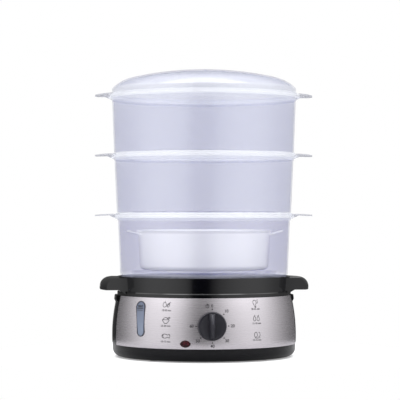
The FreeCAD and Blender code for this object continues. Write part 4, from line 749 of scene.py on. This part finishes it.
# ---------------------------------------------------------------- mains inlet and leads
# The cord's way in at the back is a soft black grommet. Inside, brass screws clamp four leads
# in coloured silicone sleeves.

dress(foot_rubber, "cord_gland")
dress(plated("brass", tone(206, 172, 106), 0.3, 1200.0), "terminal_screws")
for lead, dark, pale in (("wire_live", tone(92, 52, 30), tone(120, 70, 42)),
                         ("wire_load", tone(150, 34, 30), tone(178, 50, 44)),
                         ("wire_neutral", tone(34, 70, 140), tone(52, 92, 166)),
                         ("wire_earth", tone(70, 130, 50), tone(190, 180, 50))):
    sleeve, _, _ = moulded(f"sleeve_{lead}", dark, pale, 0.45, 0.15, 1200.0, 0.00003)
    dress(sleeve, lead)


# ---------------------------------------------------------------- drip tray
# Moulded in glossy black like the tub, with a hooded handle on each side. The front and back of
# each handle are softly rounded, which turns their shine outwards.

HANDLE_START = (0.096, 0.104)
HANDLE_END_FACES = (0.3, 0.6)
TIP_START = (0.1, 0.125)
HANDLE_LEAN = 0.27
HANDLE_TIP_LEAN = 0.16
RIGHT_LEAN_SHARE = 0.4

tray_black, tray_tree, tray_shader = finish("tray_black", {"IOR": GLOSS_IOR})
tray_spot = spot_of(tray_tree)
tray_x = Shade.node(tray_tree, "ShaderNodeSeparateXYZ", {}, {0: tray_spot}, "X")
facing = Shade.node(tray_tree, "ShaderNodeNewGeometry", {}, {}, "Normal")
facing_x = Shade.node(tray_tree, "ShaderNodeSeparateXYZ", {}, {0: facing}, "X")
flank = abs(tray_x).between(*HANDLE_START) * (1 - abs(facing_x).between(*HANDLE_END_FACES))
leaning_side = tray_x.between(-0.001, 0.001) * (1 + RIGHT_LEAN_SHARE) - 1
outwards = Shade.node(tray_tree, "ShaderNodeCombineXYZ", {}, {
    "X": flank * leaning_side * (HANDLE_LEAN + HANDLE_TIP_LEAN * abs(tray_x).between(*TIP_START))})
leaned = Shade.node(tray_tree, "ShaderNodeVectorMath", {"operation": "ADD"},
                    {0: facing, 1: outwards})
leaned = Shade.node(tray_tree, "ShaderNodeVectorMath", {"operation": "NORMALIZE"}, {0: leaned})
feed(tray_shader, "Base Color", blended(tray_tree, grains(tray_tree, tray_spot, 18.0, 3.0),
                                        tone(3, 3, 6), tone(7, 7, 12)))
feed(tray_shader, "Roughness", 0.05 + 0.05 * grains(tray_tree, tray_spot, 60.0, 4.0))
feed(tray_shader, "Normal", Shade.node(tray_tree, "ShaderNodeBump", {}, {
    "Height": grains(tray_tree, tray_spot, 45.0, 1.0), "Distance": 0.0002, "Strength": 0.25,
    "Normal": leaned}, "Normal"))
dress(tray_black, "drip_tray")


# ---------------------------------------------------------------- steam bowls and lid
# Thin walls of frosted polypropylene, milky with a cool cast. The rims and ledges are thicker
# and let less through; their white is partly painted highlight, and they carry a painted glow.

FROST_SHADE = np.array([0.12, 0.15, 0.42, 1.0])
FROST_LIGHT = np.array([0.17, 0.20, 0.48, 1.0])
# A deeper, darker tint: painted shade low in the stack, over the black tray.
FROST_SHADED_TINT = np.array([0.25, 0.28, 0.80, 1.0])
# The rims' colour: the thicker plastic's white, partly painted highlight.
FROST_RIM_WHITE_AND_HIGHLIGHT = (0.80, 0.82, 0.90, 1.0)
FROST_TAB = (0.44, 0.45, 0.52, 1.0)
# Greyer colour towards the outline, where one looks along the wall: painted shade.
FROST_OUTLINE_SHADE = (0.48, 0.46, 0.55, 1.0)
FROST_FLOOR = (0.38, 0.40, 0.53, 1.0)
# The rims' painted glow, standing in for light passed on through the plastic.
RIM_PAINTED_GLOW = (0.08, 0.085, 0.10, 1.0)
# How milky a face is: the share of what stands behind it that it hides.
WALL_MILK = 0.18
FLOOR_MILK = 0.1
RIM_MILK = 0.22
TAB_MILK = 0.58
LIGHT_PASSES = 0.92
WALL_SKIMMED = (0.9, 0.98)
# Levels over which an edge begins and ends, reaches over which a floor and a tab do, in metres.
EDGE_SOFT, EDGE_FADE, REACH_SOFT, GLOW_SOFT = 0.0005, 0.001, 0.002, 0.012


def let_through(tree, milk):
    """An alpha that scattered light and shadows pass more easily than sight does, as in milky
    plastic, which sends most of the light that it takes in out on the other side."""
    path = Shade.node(tree, "ShaderNodeLightPath", {}, {}, "Is Shadow Ray")
    return milk * (1 - LIGHT_PASSES * path.math("MAXIMUM", path, path.out("Is Diffuse Ray")))


def frosted(name, milk, painted_glow, shade, light, edges, floor_reach, tab_start, painted_glow_from=-1.0,
            skimmed_over=WALL_SKIMMED):
    """Frosted plastic: milky, faintly cloudy and satin, with a fine etched grain. It is thicker
    and whiter by a share between each two edge levels, that white partly painted highlight, with a
    painted glow there; clearer inside the floor's reach, greyer in the tabs, outside their start,
    and greyer with painted shade where one looks along it. Above a level it has a painted glow in
    place of light passed on from behind."""
    material, tree, shader = finish(name, {"IOR": 2.2, "Specular IOR Level": 0.85,
                                           "Emission Strength": 1.0})
    spot = spot_of(tree)
    across = Shade.node(tree, "ShaderNodeSeparateXYZ", {}, {0: spot}, "X")
    up = across.out("Z")
    square = across * across + across.out("Y") * across.out("Y")
    reach = square.math("SQRT", square)
    edge = 0
    for low, high, share in edges:
        begun, over = up.between(low - EDGE_SOFT, low), up.between(high, high + EDGE_FADE)
        edge = edge + begun * (share - share * over)
    tab = reach.between(tab_start, tab_start + REACH_SOFT)
    floor = 1 - reach.between(floor_reach - REACH_SOFT, floor_reach)
    cloud = grains(tree, spot, 14.0, 3.0)
    milky = blended(tree, floor, blended(tree, cloud, shade, light), FROST_FLOOR)
    # Between the edge levels the colour turns whiter: thicker plastic, partly painted highlight.
    milky = blended(tree, edge, milky, FROST_RIM_WHITE_AND_HIGHLIGHT)
    # Where one looks along it the plastic hides more, as a longer path through it does, and turns
    # greyer with painted shade.
    skimmed = Shade.node(tree, "ShaderNodeLayerWeight", {}, {"Blend": 0.5}, "Facing")
    skimmed = skimmed.between(*skimmed_over) * (1 - edge)
    milky = blended(tree, skimmed * 0.7, milky, FROST_OUTLINE_SHADE)
    feed(shader, "Base Color", blended(tree, tab, milky, FROST_TAB))
    feed(shader, "Alpha", let_through(
        tree, milk + (cloud - 0.5) * 0.04 + edge * (RIM_MILK - milk)
        + floor * (FLOOR_MILK - milk) + tab * (TAB_MILK - milk) + skimmed * 0.25))
    # A painted glow above a level, and the rims' painted glow between the edge levels.
    glow_above = blended(tree, up.between(painted_glow_from, painted_glow_from + GLOW_SOFT), (0.0, 0.0, 0.0, 1.0), painted_glow)
    feed(shader, "Emission Color", blended(tree, edge * (1 - tab), glow_above, RIM_PAINTED_GLOW))
    feed(shader, "Roughness", 0.15 + 0.1 * grains(tree, spot, 70.0) + 0.45 * tab)
    feed(shader, "Normal", rough_bump(tree, grains(tree, spot, 1600.0, 1.0), 0.00003))
    return material


# Offsets in mm from the collar's outside and from the rim: the bead and groove round the collar,
# and the step under its ledge.
RIM_TRIM = ((-1.35, 0.00), (-1.35, -5.4), (-1.05, -5.5), (-0.65, -5.2), (-0.35, -4.4),
            (-0.35, -3.6), (-0.70, -2.9), (-0.90, -2.5), (-0.70, -2.1), (-0.20, -1.5),
            (-0.10, -0.8), (-0.35, -0.1), (-0.75, 0.00))
STEP_TRIM = ((-3.20, -5.5), (-3.20, -9.8), (-2.30, -9.8), (-2.00, -9.3), (-2.00, -5.9),
             (-2.10, -5.5))


def trim_plastic(name, milk, glow_strength, low, high):
    """The thicker plastic of a rim: more of it shows, and it has a painted glow of its own."""
    material, tree, shader = finish(name, {
        "IOR": 1.6, "Emission Strength": glow_strength, "Emission Color": (0.95, 0.96, 0.99, 1.0)})
    spot = spot_of(tree)
    feed(shader, "Base Color", blended(tree, grains(tree, spot, 20.0, 3.0), low, high))
    feed(shader, "Alpha", let_through(tree, milk + 0.06 * grains(tree, spot, 30.0)))
    feed(shader, "Roughness", 0.22 + 0.1 * grains(tree, spot, 90.0))
    return material


# Both trims carry a painted glow; the rim's white is partly painted highlight.
rim_white = trim_plastic("frosted_rim", 0.36, 0.05, (0.72, 0.74, 0.81, 1.0),
                         (0.78, 0.80, 0.86, 1.0))
step_white = trim_plastic("frosted_step", 0.3, 0.3, (0.40, 0.42, 0.50, 1.0),
                          (0.46, 0.48, 0.56, 1.0))
# The walls' faint painted glow.
WALL_PAINTED_GLOW = (0.01, 0.01, 0.012, 1.0)
FOOT_EDGE = (-0.01, 0.006)
TRIM_STEPS = 192
# Each bowl's foot, ledge and rim level, the reach of its collar, tabs and floor, in metres, and
# how much painted shade, a deeper darker tint, its wall has, which also keeps its foot edge less
# white.
for bowl, foot, ledge, rim, collar, tab_start, floor_reach, shade_share in (
        ("bottom_bowl", 0.108, 0.1895, 0.195, 0.12095, 0.1225, 0.112, 1.0),
        ("middle_bowl", 0.1895, 0.2710, 0.2765, 0.12485, 0.1264, 0.116, 0.1),
        ("top_bowl", 0.271, 0.3525, 0.358, 0.12825, 0.1298, 0.119, 0.0)):
    # The deeper tint and a less white foot edge paint shade low in the stack.
    shade_tint = 1 + (FROST_SHADED_TINT - 1) * shade_share
    edges = ((foot + FOOT_EDGE[0], foot + FOOT_EDGE[1], 1 - 0.5 * shade_share),
             (ledge - MM, rim + MM, 1))
    dress(frosted(f"frosted_{bowl}", WALL_MILK, WALL_PAINTED_GLOW, FROST_SHADE * shade_tint,
                  FROST_LIGHT * shade_tint, edges, floor_reach, tab_start),
          "steam_bowl_" + bowl.replace("_bowl", ""))
    for part, outline, plastic in (("rim", RIM_TRIM, rim_white), ("step", STEP_TRIM, step_white)):
        trim = add_piece(f"{part}_{bowl}", *turned_mesh(
            rounded(np.array(outline) * MM + (collar, rim), 2), TRIM_STEPS), plastic)
        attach(trim, bowl)

LID_MILK = 0.26
# The lid's faint painted glow.
LID_PAINTED_GLOW = (0.02, 0.02, 0.025, 1.0)
LID_SHADE, LID_LIGHT = (0.38, 0.41, 0.58, 1.0), (0.44, 0.47, 0.64, 1.0)
LID_EDGES = ((0.3520, 0.3560, 0.5), (0.3500, 0.3660, 0.5))
NO_FLOOR, NO_TABS = 0.001, 0.2
dress(frosted("frosted_lid", LID_MILK, LID_PAINTED_GLOW, LID_SHADE, LID_LIGHT, LID_EDGES, NO_FLOOR,
              NO_TABS), "lid")


# ---------------------------------------------------------------- rice bowl
# A closed bowl of whiter plastic, moulded in one piece with two wings to lift it by. It stands
# loose on the bottom bowl's floor.

# The rice bowl has a painted glow above a level and is greyer towards its outline with painted
# shade.
RICE_MILK = 0.7
RICE_PAINTED_GLOW = (0.22, 0.22, 0.205, 1.0)
RICE_SHADE, RICE_LIGHT = (0.86, 0.87, 0.91, 1.0), (0.91, 0.92, 0.95, 1.0)
# Below this level it has no glow: painted shade at its foot.
RICE_GLOW_FROM = 0.112
RICE_SKIMMED = (0.6, 0.95)
dress(frosted("frosted_rice_bowl", RICE_MILK, RICE_PAINTED_GLOW, RICE_SHADE, RICE_LIGHT, (), NO_FLOOR,
              NO_TABS, RICE_GLOW_FROM, RICE_SKIMMED), "rice_bowl")
